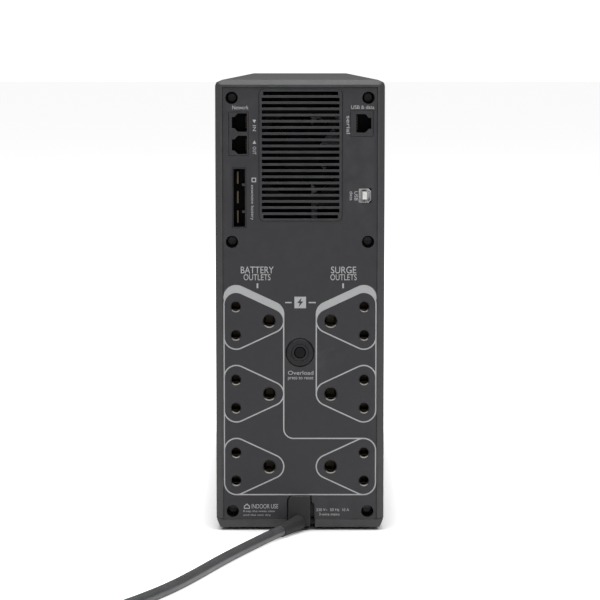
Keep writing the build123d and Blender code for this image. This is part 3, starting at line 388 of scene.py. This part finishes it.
# Brass darkened far below its own colour: painted shade for contacts deep inside the pin holes and the
# battery port, with heavier random tarnish.
SPRING_PAINTED_SHADE = metal("contact_spring_painted_shade", (0.20, 0.175, 0.13), 0.5, tarnish=0.5)
BLACK_ZINC = metal("screw_black", (0.045, 0.045, 0.047), 0.4)

WINDOW = tinted_glass("smoked_window", (0.55, 0.57, 0.58), 0.03)

FINISH = {
    "case_black": CASE,
    "panel_black": PANEL,
    "gloss_black": GLOSS,
    "clear_window": WINDOW,
    "lcd_grey": LCD,
    "board_green": BOARD,
    "button_grey": BUTTON,
    "battery_case": CELL,
    "zinc_steel": STEEL,
    "core_steel": CORE,
    "copper_winding": WINDING,
    "fin_aluminium": FIN,
    "capacitor_sleeve": SLEEVE,
    "relay_case": RELAY,
    # The fan's own black plastic, darkened further as painted shade behind the grille.
    "fan_black": PAINTED_SHADE_BLACK,
    "port_black": PORT,
    "gold_contact": GOLD,
    "port_steel": TIN,
    "port_white": WHITE,
    "breaker_black": BREAKER,
    "screw_black": BLACK_ZINC,
    "rubber_black": RUBBER,
    "cord_jacket": JACKET,
    "tie_black": TAPE,
    "plug_black": CASE,
    "pin_brass": BRASS,
}


def dress_nodes():
    for node, slot in SLOT.items():
        give(nodes[node], FINISH[slot])


# ---- finished copies of the moulded pieces ---------------------------------------------------------------
MERGE_WITHIN = 1e-6
FLAT_WITHIN = math.radians(0.5)
ROUNDED_PAST = math.radians(32)
SMOOTH_WITHIN = math.radians(38)


def refine(node, width, whole_faces=True):
    """A copy of a frame node with its flat faces made whole and its sharp edges rounded."""
    source = nodes[node]
    piece = source.copy()
    piece.data = source.data.copy()
    for key in list(piece.keys()):
        del piece[key]
    piece.name = "finished_" + node
    bpy.context.scene.collection.objects.link(piece)
    activate(piece)
    bpy.ops.object.mode_set(mode="EDIT")
    bpy.ops.mesh.select_all(action="SELECT")
    bpy.ops.mesh.remove_doubles(threshold=MERGE_WITHIN)
    if whole_faces:
        bpy.ops.mesh.dissolve_limited(angle_limit=FLAT_WITHIN)
    bpy.ops.object.mode_set(mode="OBJECT")
    rounding = piece.modifiers.new("edge_rounding", "BEVEL")
    rounding.width = width
    rounding.segments = 2
    rounding.limit_method = "ANGLE"
    rounding.angle_limit = ROUNDED_PAST
    rounding.use_clamp_overlap = False
    bpy.ops.object.modifier_apply(modifier=rounding.name)
    bpy.ops.object.shade_smooth_by_angle(angle=SMOOTH_WITHIN)
    flat_faces = piece.modifiers.new("flat_faces", "WEIGHTED_NORMAL")
    flat_faces.keep_sharp = True
    bpy.ops.object.modifier_apply(modifier=flat_faces.name)
    give(piece, FINISH[SLOT[node]])
    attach(piece, body_of(source)[0])
    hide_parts(node)
    return piece


EDGE_WIDTH = {
    "cover": 0.1 * MM,
    "front_bezel": 0.5 * MM,
    "base_tray": 0.4 * MM,
    "rear_panel": 0.06 * MM,
    "fascia": 0.3 * MM,
    "battery_door": 0.4 * MM,
    "network_jacks": 0.25 * MM,
    "data_jack": 0.25 * MM,
    "battery_port": 0.2 * MM,
    "usb_socket": 0.08 * MM,
    "usb_tongue": 0.2 * MM,
    "breaker_nut": 0.3 * MM,
    "breaker_body": 0.25 * MM,
    "breaker_button": 0.25 * MM,
    "strain_relief": 0.35 * MM,
    "plug_body": 0.6 * MM,
    "plug_pins": 0.2 * MM,
    "coil_tie": 0.15 * MM,
    "power_button": 0.4 * MM,
    "mute_button": 0.35 * MM,
    "menu_button": 0.35 * MM,
    "vent_grille": 0.25 * MM,
}
SOCKETS = ("network_jacks", "data_jack", "battery_port")
# Faces deeper than this behind the panel face get painted shade.
SOCKET_FACE_DEPTH = 0.7 * MM

# Where the painted glints go: near the panel face, on slanted faces that tilt upwards, at the outlets.
LIP_DEPTH = 0.8 * MM
LIP_SLANT = (-0.95, -0.3)
GLINT_UPTURN = 0.45
OUTLETS_PAST_X = 15 * MM
OUTLETS_Z = (25 * MM, 165 * MM)


def shade_inside(socket):
    """The face has the panel's finish, and the faces further in get a near-black painted shade."""
    give(socket, PANEL)
    socket.data.materials.append(PAINTED_SHADE_BLACK)
    for face in socket.data.polygons:
        if face.center.y > PANEL_FACE + SOCKET_FACE_DEPTH:
            face.material_index = 1


def paint_lip_glints(panel):
    """Painted highlight: the lower half of the slanted lead-in of each pin hole, its faces tilted up
    towards the top light, in a pale glint colour.
    """
    panel.data.materials.append(LIP_GLINT)
    for face in panel.data.polygons:
        slanted = LIP_SLANT[0] < face.normal.y < LIP_SLANT[1] and face.normal.z > GLINT_UPTURN
        at_outlets = abs(face.center.x) > OUTLETS_PAST_X and OUTLETS_Z[0] < face.center.z < OUTLETS_Z[1]
        if slanted and at_outlets and face.center.y < PANEL_FACE + LIP_DEPTH:
            face.material_index = 1


def make_finished_pieces():
    """Rounded copies of the moulded pieces, by node name."""
    finished = {
        node: refine(node, width, whole_faces=node != "vent_grille") for node, width in EDGE_WIDTH.items()
    }
    # Painted shade inside the sockets.
    for node in SOCKETS:
        shade_inside(finished[node])
    # Painted glints on the lower lips of the pin holes.
    paint_lip_glints(finished["rear_panel"])
    give(finished["breaker_button"], RESET)
    # Outlet and battery-port contacts get the darkened brass of painted shade.
    for node in nodes:
        if node.startswith("outlet_contacts"):
            give(nodes[node], SPRING_PAINTED_SHADE)
    give(nodes["battery_port_contacts"], SPRING_PAINTED_SHADE)
    return finished


# ---- rear screws ---------------------------------------------------------------------------------------
SCREW_HEAD_R, SCREW_HEAD_DEPTH = 3.4 * MM, 2.4 * MM
SCREW_RIM = 0.3 * SCREW_HEAD_DEPTH
CROSS_SIZE = (1.25 * SCREW_HEAD_R, 1.1 * SCREW_HEAD_DEPTH, 0.24 * SCREW_HEAD_R)
MIDDLE_SCREW_Z = 194.0 * MM


def screw_head(place):
    """A pan head with a rounded rim and a cross recess, facing the rear."""
    deselect()
    bpy.ops.mesh.primitive_cylinder_add(
        vertices=32, radius=SCREW_HEAD_R, depth=SCREW_HEAD_DEPTH, rotation=(math.pi / 2, 0, 0)
    )
    head = bpy.context.object
    settle(head)
    rim = head.modifiers.new("rim", "BEVEL")
    rim.width = SCREW_RIM
    rim.segments = 4
    rim.limit_method = "ANGLE"
    rim.angle_limit = math.radians(50)
    bpy.ops.object.modifier_apply(modifier=rim.name)
    for turned in (0.0, math.pi / 2):
        deselect()
        bpy.ops.mesh.primitive_cube_add(
            size=1.0, location=(0.0, -SCREW_HEAD_DEPTH / 2, 0.0), rotation=(0.0, turned, 0.0)
        )
        blade = bpy.context.object
        blade.scale = CROSS_SIZE
        settle(blade)
        activate(head)
        slot = head.modifiers.new("cross", "BOOLEAN")
        slot.object = blade
        slot.operation = "DIFFERENCE"
        slot.solver = "EXACT"
        bpy.ops.object.modifier_apply(modifier=slot.name)
        bpy.data.objects.remove(blade)
    head.location = place
    settle(head)
    bpy.ops.object.shade_smooth_by_angle(angle=math.radians(35))
    return head


def make_rear_screws():
    """Each screw's head takes the place of the plain one at the bottom of its cup."""
    lo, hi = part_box("rear_screws")
    rows = (hi.z - SCREW_HEAD_R, MIDDLE_SCREW_Z, lo.z + SCREW_HEAD_R)
    heads = [
        screw_head((x, lo.y + SCREW_HEAD_DEPTH / 2, z))
        for x in (lo.x + SCREW_HEAD_R, hi.x - SCREW_HEAD_R)
        for z in rows
    ]
    screws = join(heads, "rear_screw_heads")
    give(screws, BLACK_ZINC)
    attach(screws, "root")
    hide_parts("rear_screws")


# ---- printed lines and words on the rear panel, drawn in millimetres of x and z ------------------------
INK_FACE = PANEL_FACE - 0.02 * MM
INK_DEPTH = 0.03 * MM
INK_STEP = 0.015 * MM
LINE = 0.82
ROWS = (141.4, 92.4, 43.2)
PIN_SIDE_X, APEX_X, CORNER_HALF_HEIGHT, CORNER_R = 42.45, 18.95, 10.95, 8.1
BAND_RISE = 4.5
TURN_R = 6.5
ARC_STEP = math.radians(7.5)


def arc(centre, radius, start, end):
    """Points along an arc, its angles in radians from +X, in the order given."""
    count = max(2, round(abs(end - start) / ARC_STEP))
    angles = [start + (end - start) * n / count for n in range(count + 1)]
    return [(centre[0] + radius * math.cos(a), centre[1] + radius * math.sin(a)) for a in angles]


def loop_round(centres, radius):
    """The outline that a belt takes round circles of one radius, its centres given clockwise."""
    points = []
    for before, centre, after in zip(centres[-1:] + centres[:-1], centres, centres[1:] + centres[:1]):
        start = math.atan2(centre[1] - before[1], centre[0] - before[0]) + math.pi / 2
        end = math.atan2(after[1] - centre[1], after[0] - centre[0]) + math.pi / 2
        while end > start:
            end -= 2 * math.pi
        while end < start - 2 * math.pi:
            end += 2 * math.pi
        points += arc(centre, radius, start, end)
    return points


def ribbon(points, width):
    """A closed outline of even width along an open path."""
    left, right = [], []
    for n, (x, z) in enumerate(points):
        before, after = points[max(n - 1, 0)], points[min(n + 1, len(points) - 1)]
        dx, dz = after[0] - before[0], after[1] - before[1]
        size = math.hypot(dx, dz)
        nx, nz = -dz / size * width / 2, dx / size * width / 2
        left.append((x + nx, z + nz))
        right.append((x - nx, z - nz))
    return left + right[::-1]


def to_rear(flat, name, coat=0):
    """Stands a flat printed piece up against the rear panel, each coat of ink a little further out."""
    activate(flat)
    bpy.ops.object.convert(target="MESH")
    flat = bpy.context.object
    flat.name = name
    flat.rotation_euler = (math.pi / 2, 0.0, 0.0)
    flat.location = (0.0, INK_FACE - coat * INK_STEP, 0.0)
    settle(flat)
    return flat


def filled(outlines, name, coat=0):
    """A flat shape inside closed outlines in millimetres, where an inner outline is a hole."""
    curve = bpy.data.curves.new(name, "CURVE")
    curve.dimensions = "2D"
    curve.fill_mode = "BOTH"
    for outline in outlines:
        spline = curve.splines.new("POLY")
        spline.points.add(len(outline) - 1)
        for point, (x, z) in zip(spline.points, outline):
            point.co = (x * MM, z * MM, 0.0, 1.0)
        spline.use_cyclic_u = True
    return to_rear(add_object(name, curve), name, coat)


def outlet_corners(side, row):
    """Centres of the three rounded corners round an outlet's pins, clockwise from behind."""
    corners = [
        (side * PIN_SIDE_X, row - CORNER_HALF_HEIGHT),
        (side * PIN_SIDE_X, row + CORNER_HALF_HEIGHT),
        (side * APEX_X, row),
    ]
    return corners if side < 0 else corners[::-1]


def outlet_ring(side, row):
    corners = outlet_corners(side, row)
    outlines = [loop_round(corners, radius) for radius in (CORNER_R + LINE / 2, CORNER_R - LINE / 2)]
    return filled(outlines, "outlet_ring")


def outlet_band(side):
    """The thick band over a column's top outlet, which runs out to a line at both ends."""
    row = ROWS[0]
    slope = math.atan2(CORNER_HALF_HEIGHT, PIN_SIDE_X - APEX_X)
    normal = math.pi / 2 - slope
    outer_r, inner_r = CORNER_R + LINE / 2, CORNER_R - LINE / 2
    corner, apex = (-PIN_SIDE_X, row + CORNER_HALF_HEIGHT), (-APEX_X, row)
    upper = [(corner[0], corner[1] + BAND_RISE), (apex[0], apex[1] + BAND_RISE)]
    outline = arc(upper[0], outer_r, math.pi, normal) + arc(upper[1], outer_r, normal, 0.0)
    outline += arc(apex, inner_r, 0.0, normal) + arc(corner, inner_r, normal, math.pi)
    if side > 0:
        outline = [(-x, z) for x, z in outline]
    return filled([outline], "outlet_band", coat=2)


def column_lines():
    """The lines that tie each column's outlets together."""
    edge, apex = PIN_SIDE_X + CORNER_R, APEX_X - CORNER_R
    top, middle, bottom = ROWS
    corner_top = top + CORNER_HALF_HEIGHT
    high = bottom + CORNER_HALF_HEIGHT + CORNER_R
    low = bottom - CORNER_HALF_HEIGHT - CORNER_R
    turn = arc((-apex + TURN_R, high + TURN_R), TURN_R, math.pi, 1.5 * math.pi)
    paths = [
        [(-edge, corner_top), (-edge, bottom - CORNER_HALF_HEIGHT)],
        [(-apex, top + BAND_RISE), *turn, (PIN_SIDE_X, high)],
        [(-PIN_SIDE_X, low), (PIN_SIDE_X, low)],
        [(edge, corner_top), (edge, middle - CORNER_HALF_HEIGHT)],
        [(apex, top + BAND_RISE), (apex, middle)],
    ]
    return [filled([ribbon(path, LINE)], "column_line", coat=1) for path in paths]


def word(text, x, z, turned=False):
    """Words fitted to a box of x and z in millimetres. Turned words read from the top down."""
    curve = bpy.data.curves.new("word", "FONT")
    curve.body = text
    label = to_rear(add_object("word", curve), "word")
    if turned:
        label.rotation_euler = (0.0, math.pi / 2, 0.0)
        settle(label)
    corners = [vertex.co for vertex in label.data.vertices]
    lo = Vector((min(c.x for c in corners), 0.0, min(c.z for c in corners)))
    hi = Vector((max(c.x for c in corners), 0.0, max(c.z for c in corners)))
    wide, high = (x[1] - x[0]) * MM, (z[1] - z[0]) * MM
    scale = (wide / (hi.x - lo.x), 1.0, high / (hi.z - lo.z))
    label.scale = scale
    label.location = (x[0] * MM - lo.x * scale[0], 0.0, z[0] * MM - lo.z * scale[2])
    settle(label)
    return label


def rectangle(x, z):
    return [(x[0], z[0]), (x[1], z[0]), (x[1], z[1]), (x[0], z[1])]


def bar(x, z):
    return filled([rectangle(x, z)], "bar")


BOLT = [(0.9, 3.1), (-2.1, -0.4), (-0.3, -0.4), (-1.1, -3.1), (2.1, 0.7), (0.3, 0.7)]


def badge():
    """Pale square with a lightning bolt left open in it, and a dash at each side."""
    x, z, half = 0.15, 153.65, 3.85
    square = rectangle((x - half, x + half), (z - half, z + half))
    bolt = [(x + dx, z + dz) for dx, dz in BOLT]
    dashes = [bar(span, (153.2, 154.0)) for span in ((-9.8, -5.5), (5.8, 10.5))]
    return [filled([square, bolt], "badge"), *dashes]


def house():
    """Outline of a house, for use indoors."""
    outer = [(-37.6, 14.5), (-33.6, 14.5), (-33.6, 16.4), (-35.6, 18.1), (-37.6, 16.4)]
    inner = [(-37.0, 15.1), (-34.2, 15.1), (-34.2, 16.2), (-35.6, 17.3), (-37.0, 16.2)]
    return filled([outer, inner], "house")


def port_arrow(x, z, inward):
    tip, back = (z - 1.6, z + 0.6) if inward else (z + 1.6, z - 0.6)
    head = [(x - 1.2, back), (x + 1.2, back), (x, tip)]
    return filled([head], "arrow")


def port_mark():
    """A small open square over the name of the battery connector."""
    outer = rectangle((-32.0, -29.0), (233.6, 236.6))
    inner = rectangle((-31.4, -29.6), (234.2, 236.0))
    return filled([outer, inner], "port_mark")


def rear_words():
    """Generic words for the outlets, the breaker, the ports and the use of the unit."""
    return [
        word("BATTERY", (-39.3, -17.5), (173.1, 177.6)),
        word("OUTLETS", (-37.4, -19.6), (168.5, 172.5)),
        word("SURGE", (20.6, 37.3), (173.1, 177.6)),
        word("OUTLETS", (20.2, 37.6), (168.5, 172.5)),
        word("Overload", (-8.0, 8.9), (105.2, 107.8)),
        word("press to reset", (-8.0, 8.9), (101.4, 103.9)),
        word("Network", (-44.6, -34.0), (281.6, 284.1)),
        word("USB & data", (33.7, 49.0), (281.9, 284.2)),
        word("serial", (30.7, 33.2), (265.6, 277.3), turned=True),
        word("USB", (36.0, 38.2), (221.5, 227.5), turned=True),
        word("data", (32.9, 35.0), (221.5, 227.5), turned=True),
        word("extension battery", (-32.9, -30.5), (208.6, 231.8), turned=True),
        word("IN", (-31.2, -29.0), (267.4, 271.2), turned=True),
        word("OUT", (-31.2, -29.0), (252.0, 257.0), turned=True),
        word("INDOOR USE", (-32.4, -14.6), (14.7, 17.7)),
        word("Keep the vents clear", (-38.0, -16.5), (11.9, 13.5)),
        word("and the unit dry", (-38.0, -19.6), (9.4, 10.9)),
        word("230 V~  50 Hz  10 A", (10.9, 32.9), (12.9, 14.8)),
        word("3-wire mains", (12.8, 26.5), (9.9, 11.8)),
    ]


def thicken(flat, depth):
    skin = flat.modifiers.new("ink_depth", "SOLIDIFY")
    skin.thickness = depth
    skin.offset = 0.0
    bpy.ops.object.modifier_apply(modifier=skin.name)


def make_print():
    """Everything printed on the rear panel, as one thin piece of ink."""
    prints = [outlet_ring(side, row) for side in (-1, 1) for row in ROWS]
    prints += [outlet_band(side) for side in (-1, 1)]
    prints += column_lines() + badge() + [house()]
    prints += [bar(span, (163.2, 166.4)) for span in ((-28.8, -27.7), (28.1, 29.2))]
    prints += rear_words()
    prints += [port_arrow(-30.1, 274.2, True), port_arrow(-30.1, 259.6, False), port_mark()]
    ink = join(prints, "printed_ink")
    thicken(ink, INK_DEPTH)
    give(ink, INK)
    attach(ink, "root")


# ---- printed symbols on the front ----------------------------------------------------------------------
BUTTON_LO, BUTTON_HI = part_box("power_button")
BUTTON_Z = (BUTTON_LO.z + BUTTON_HI.z) / 2 / MM
MENU_LO, MENU_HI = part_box("menu_button")
SIDE_BUTTON_X = (MENU_LO.x + MENU_HI.x) / 2 / MM
LCD_LO, LCD_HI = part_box("lcd_panel")
SYMBOL_LINE = 0.7
SYMBOL_DEPTH = 0.01 * MM
SYMBOL_GAP, SEGMENT_GAP = 0.006 * MM, 0.03 * MM


def to_front(pieces, name, y, material, body="root"):
    """Turns pieces made for the rear round to face the front, at a depth y, as one piece."""
    whole = join(pieces, name)
    thicken(whole, SYMBOL_DEPTH)
    whole.rotation_euler = (0.0, 0.0, math.pi)
    settle(whole)
    whole.location = (0.0, y + INK_FACE, 0.0)
    settle(whole)
    give(whole, material)
    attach(whole, body)


def power_symbol():
    ring = arc((0.0, BUTTON_Z), 3.2, math.radians(125), math.radians(415))
    stroke = bar((-SYMBOL_LINE / 2, SYMBOL_LINE / 2), (BUTTON_Z + 0.6, BUTTON_Z + 4.2))
    return [filled([ribbon(ring, SYMBOL_LINE)], "power_ring"), stroke]


def mute_symbol(x):
    """A bell with a stroke through it."""
    bell = [(x - 2.6, BUTTON_Z - 1.6), (x + 2.6, BUTTON_Z - 1.6), (x + 1.8, BUTTON_Z - 0.8)]
    bell += arc((x, BUTTON_Z + 0.6), 1.8, 0.0, math.pi) + [(x - 1.8, BUTTON_Z - 0.8)]
    stroke = ribbon([(x - 2.9, BUTTON_Z - 2.6), (x + 2.9, BUTTON_Z + 2.8)], 0.5)
    return [filled([bell], "bell"), filled([stroke], "stroke", coat=1)]


def menu_symbol(x):
    """Three short lines, one over another."""
    half = SYMBOL_LINE / 2
    rows = [BUTTON_Z + dz for dz in (-1.7, 0.0, 1.7)]
    return [bar((x - 2.4, x + 2.4), (z - half, z + half)) for z in rows]


def display_symbols():
    """Segments of the display: charge and load bars, a reading and its unit."""
    middle = (LCD_LO.z + LCD_HI.z) / 2 / MM
    marks = [
        word("230", (-13.0, 9.0), (middle - 6.0, middle + 8.0)),
        word("V", (11.5, 16.0), (middle - 6.0, middle - 1.0)),
    ]
    for n in range(5):
        z = middle - 14.0 + 5.4 * n
        marks += [bar((-22.0, -17.0), (z, z + 3.8)), bar((18.5, 23.5), (z, z + 3.8))]
    marks.append(bar((-13.0, 16.0), (middle - 12.0, middle - 11.4)))
    marks.append(word("100 %", (-12.0, 4.0), (middle - 18.0, middle - 14.0)))
    return marks


def make_front_print():
    button_face = BUTTON_HI.y + SYMBOL_GAP
    to_front(power_symbol(), "power_symbol", button_face, INK, "power_button")
    to_front(mute_symbol(SIDE_BUTTON_X), "mute_symbol", button_face, INK, "mute_button")
    to_front(menu_symbol(-SIDE_BUTTON_X), "menu_symbol", button_face, INK, "menu_button")
    to_front(display_symbols(), "display_segments", LCD_HI.y + SEGMENT_GAP, LCD_INK)


# ---- cord ----------------------------------------------------------------------------------------------
COIL_TURNS = 5.25
POINTS_PER_TURN = 16
COIL_FIRST_STEP, COIL_STEP_LENGTH = 0.66, 0.18


def ring_place(turns):
    """Radius and height of the cord's centre after so many turns of the coil, from its outer lower ring."""
    lo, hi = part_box("cord_coil")
    outer = (hi.x - lo.x) / 2 - CORD_DIAMETER / 2
    low, high = lo.z + CORD_DIAMETER / 2, hi.z - CORD_DIAMETER / 2
    pitch = CORD_DIAMETER
    stops = [(outer, low), (outer - pitch, low), (outer - 2 * pitch, low)]
    climb = len(stops) - 1
    stops += [(outer - 2 * pitch, high), (outer - pitch, high), (outer, high)]
    last = len(stops) - 1
    step = 0
    while step < last and turns > COIL_FIRST_STEP + COIL_STEP_LENGTH + step:
        step += 1
    share = min(max((turns - COIL_FIRST_STEP - step) / COIL_STEP_LENGTH, 0.0), 1.0) if step < last else 0.0
    share = share * share * (3 - 2 * share)
    (r0, z0), (r1, z1) = stops[step], stops[min(step + 1, last)]
    tuck = 0.35 * pitch * math.sin(math.pi * share) if step == climb else 0.0
    return r0 + (r1 - r0) * share - tuck, z0 + (z1 - z0) * share


def coil_points():
    """Control points of the coil, a little outside the cord's centre because the curve runs inside them."""
    lo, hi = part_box("cord_coil")
    centre = (lo + hi) / 2
    swell = 1 / (0.75 + 0.25 * math.cos(2 * math.pi / POINTS_PER_TURN))
    points = []
    for n in range(1, round(COIL_TURNS * POINTS_PER_TURN) + 1):
        turns = n / POINTS_PER_TURN
        radius, z = ring_place(turns)
        angle = math.pi + 2 * math.pi * turns
        reach = radius * swell
        points.append((centre.x + reach * math.cos(angle), centre.y + reach * math.sin(angle), z))
    return points


def make_cord():
    points = CORD_ROUTE + coil_points() + TAIL_ROUTE
    curve = bpy.data.curves.new("mains_cord", "CURVE")
    curve.dimensions = "3D"
    spline = curve.splines.new("NURBS")
    spline.points.add(len(points) - 1)
    for point, place in zip(spline.points, points):
        point.co = (*place, 1.0)
    spline.order_u = 3
    spline.use_endpoint_u = True
    spline.resolution_u = 6
    curve.resolution_u = 6
    curve.bevel_depth = CORD_DIAMETER / 2
    curve.bevel_resolution = 5
    curve.use_fill_caps = True
    cord = add_object("mains_cord", curve)
    give(cord, JACKET)
    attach(cord, "root")
    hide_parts("power_cord", "cord_coil")


# ---- stage ---------------------------------------------------------------------------------------------
CAMERA_BEHIND = 1.5808
CAMERA_HEIGHT = 0.3233
CAMERA_PITCH = 6.064
CAMERA_LENS = 143.6
PURE_WHITE = (1.0, 1.0, 1.0, 1.0)
FLOOR_COLOUR = (0.93, 0.93, 0.93, 1.0)
FLOOR_LIFT, FLOOR_LIFT_REACH = 0.78, 0.04
LIGHT_ALL_ROUND, BACKDROP_BRIGHTNESS = 0.19, 1.05


def make_camera():
    data = bpy.data.cameras.new("camera")
    data.lens = CAMERA_LENS
    data.sensor_width = 36.0
    data.clip_start, data.clip_end = 0.05, 60.0
    camera = add_object("camera", data)
    camera.location = (0.0, REAR - CAMERA_BEHIND, CAMERA_HEIGHT)
    camera.rotation_euler = (math.radians(90 - CAMERA_PITCH), 0.0, 0.0)
    bpy.context.scene.camera = camera


def area_light(name, place, target, size, power):
    data = bpy.data.lights.new(name, "AREA")
    data.shape = "RECTANGLE"
    data.size, data.size_y = size
    data.energy = power
    lamp = add_object(name, data)
    lamp.location = place
    lamp.rotation_mode = "QUATERNION"
    lamp.rotation_quaternion = (Vector(target) - Vector(place)).to_track_quat("-Z", "Y")


def paper_white(tree):
    """Lifts the floor to the white of the backdrop away from the housing, and lights nothing."""
    glow = tree.nodes.new("ShaderNodeEmission")
    ray = tree.nodes.new("ShaderNodeLightPath")
    place = tree.nodes.new("ShaderNodeSeparateXYZ")
    link(tree, place_on_piece(tree), place.inputs[0])
    beside = math_node(tree, "SUBTRACT", math_node(tree, "ABSOLUTE", place.outputs["X"], 0.0), COVER_HI.x)
    behind = math_node(tree, "SUBTRACT", math_node(tree, "ABSOLUTE", place.outputs["Y"], 0.0), -REAR)
    away = remap(tree, math_node(tree, "MAXIMUM", beside, behind), 0.0, FLOOR_LIFT_REACH)
    amount = math_node(tree, "MULTIPLY", away, FLOOR_LIFT)
    lift = math_node(tree, "MULTIPLY", ray.outputs["Is Camera Ray"], amount)
    link(tree, lift, glow.inputs["Strength"])
    both = tree.nodes.new("ShaderNodeAddShader")
    link(tree, tree.nodes["Principled BSDF"].outputs[0], both.inputs[0])
    link(tree, glow.outputs[0], both.inputs[1])
    link(tree, both.outputs[0], tree.nodes["Material Output"].inputs["Surface"])


def make_world():
    """Even grey light all round, in front of a white backdrop."""
    world = bpy.data.worlds.new("studio")
    world.use_nodes = True
    tree = world.node_tree
    light = tree.nodes["Background"]
    light.inputs["Color"].default_value = PURE_WHITE
    light.inputs["Strength"].default_value = LIGHT_ALL_ROUND
    paper = tree.nodes.new("ShaderNodeBackground")
    paper.inputs["Color"].default_value = PURE_WHITE
    paper.inputs["Strength"].default_value = BACKDROP_BRIGHTNESS
    ray = tree.nodes.new("ShaderNodeLightPath")
    choice = tree.nodes.new("ShaderNodeMixShader")
    link(tree, ray.outputs["Is Camera Ray"], choice.inputs[0])
    link(tree, light.outputs[0], choice.inputs[1])
    link(tree, paper.outputs[0], choice.inputs[2])
    link(tree, choice.outputs[0], tree.nodes["World Output"].inputs["Surface"])
    bpy.context.scene.world = world


def make_stage():
    bpy.ops.mesh.primitive_plane_add(size=40.0, location=(0.0, 0.0, 0.0))
    floor = bpy.context.object
    floor.name = "studio_floor"
    material, tree, shader = new_material("studio_white")
    shader.inputs["Base Color"].default_value = FLOOR_COLOUR
    shader.inputs["Roughness"].default_value = 0.95
    paper_white(tree)
    give(floor, material)
    make_world()
    middle = (0.0, 0.0, 0.15)
    area_light("top_softbox", (0.0, -0.35, 2.2), (0.0, -0.2, 0.0), (3.2, 2.4), 95.0)
    area_light("rear_softbox", (0.0, -3.2, 1.3), middle, (2.2, 1.6), 5.5)
    bpy.context.scene.view_settings.view_transform = "Standard"
    bpy.context.scene.view_settings.look = "None"


make_camera()
dress_nodes()
finished = make_finished_pieces()
make_cord()
make_rear_screws()
make_print()
make_front_print()
make_stage()
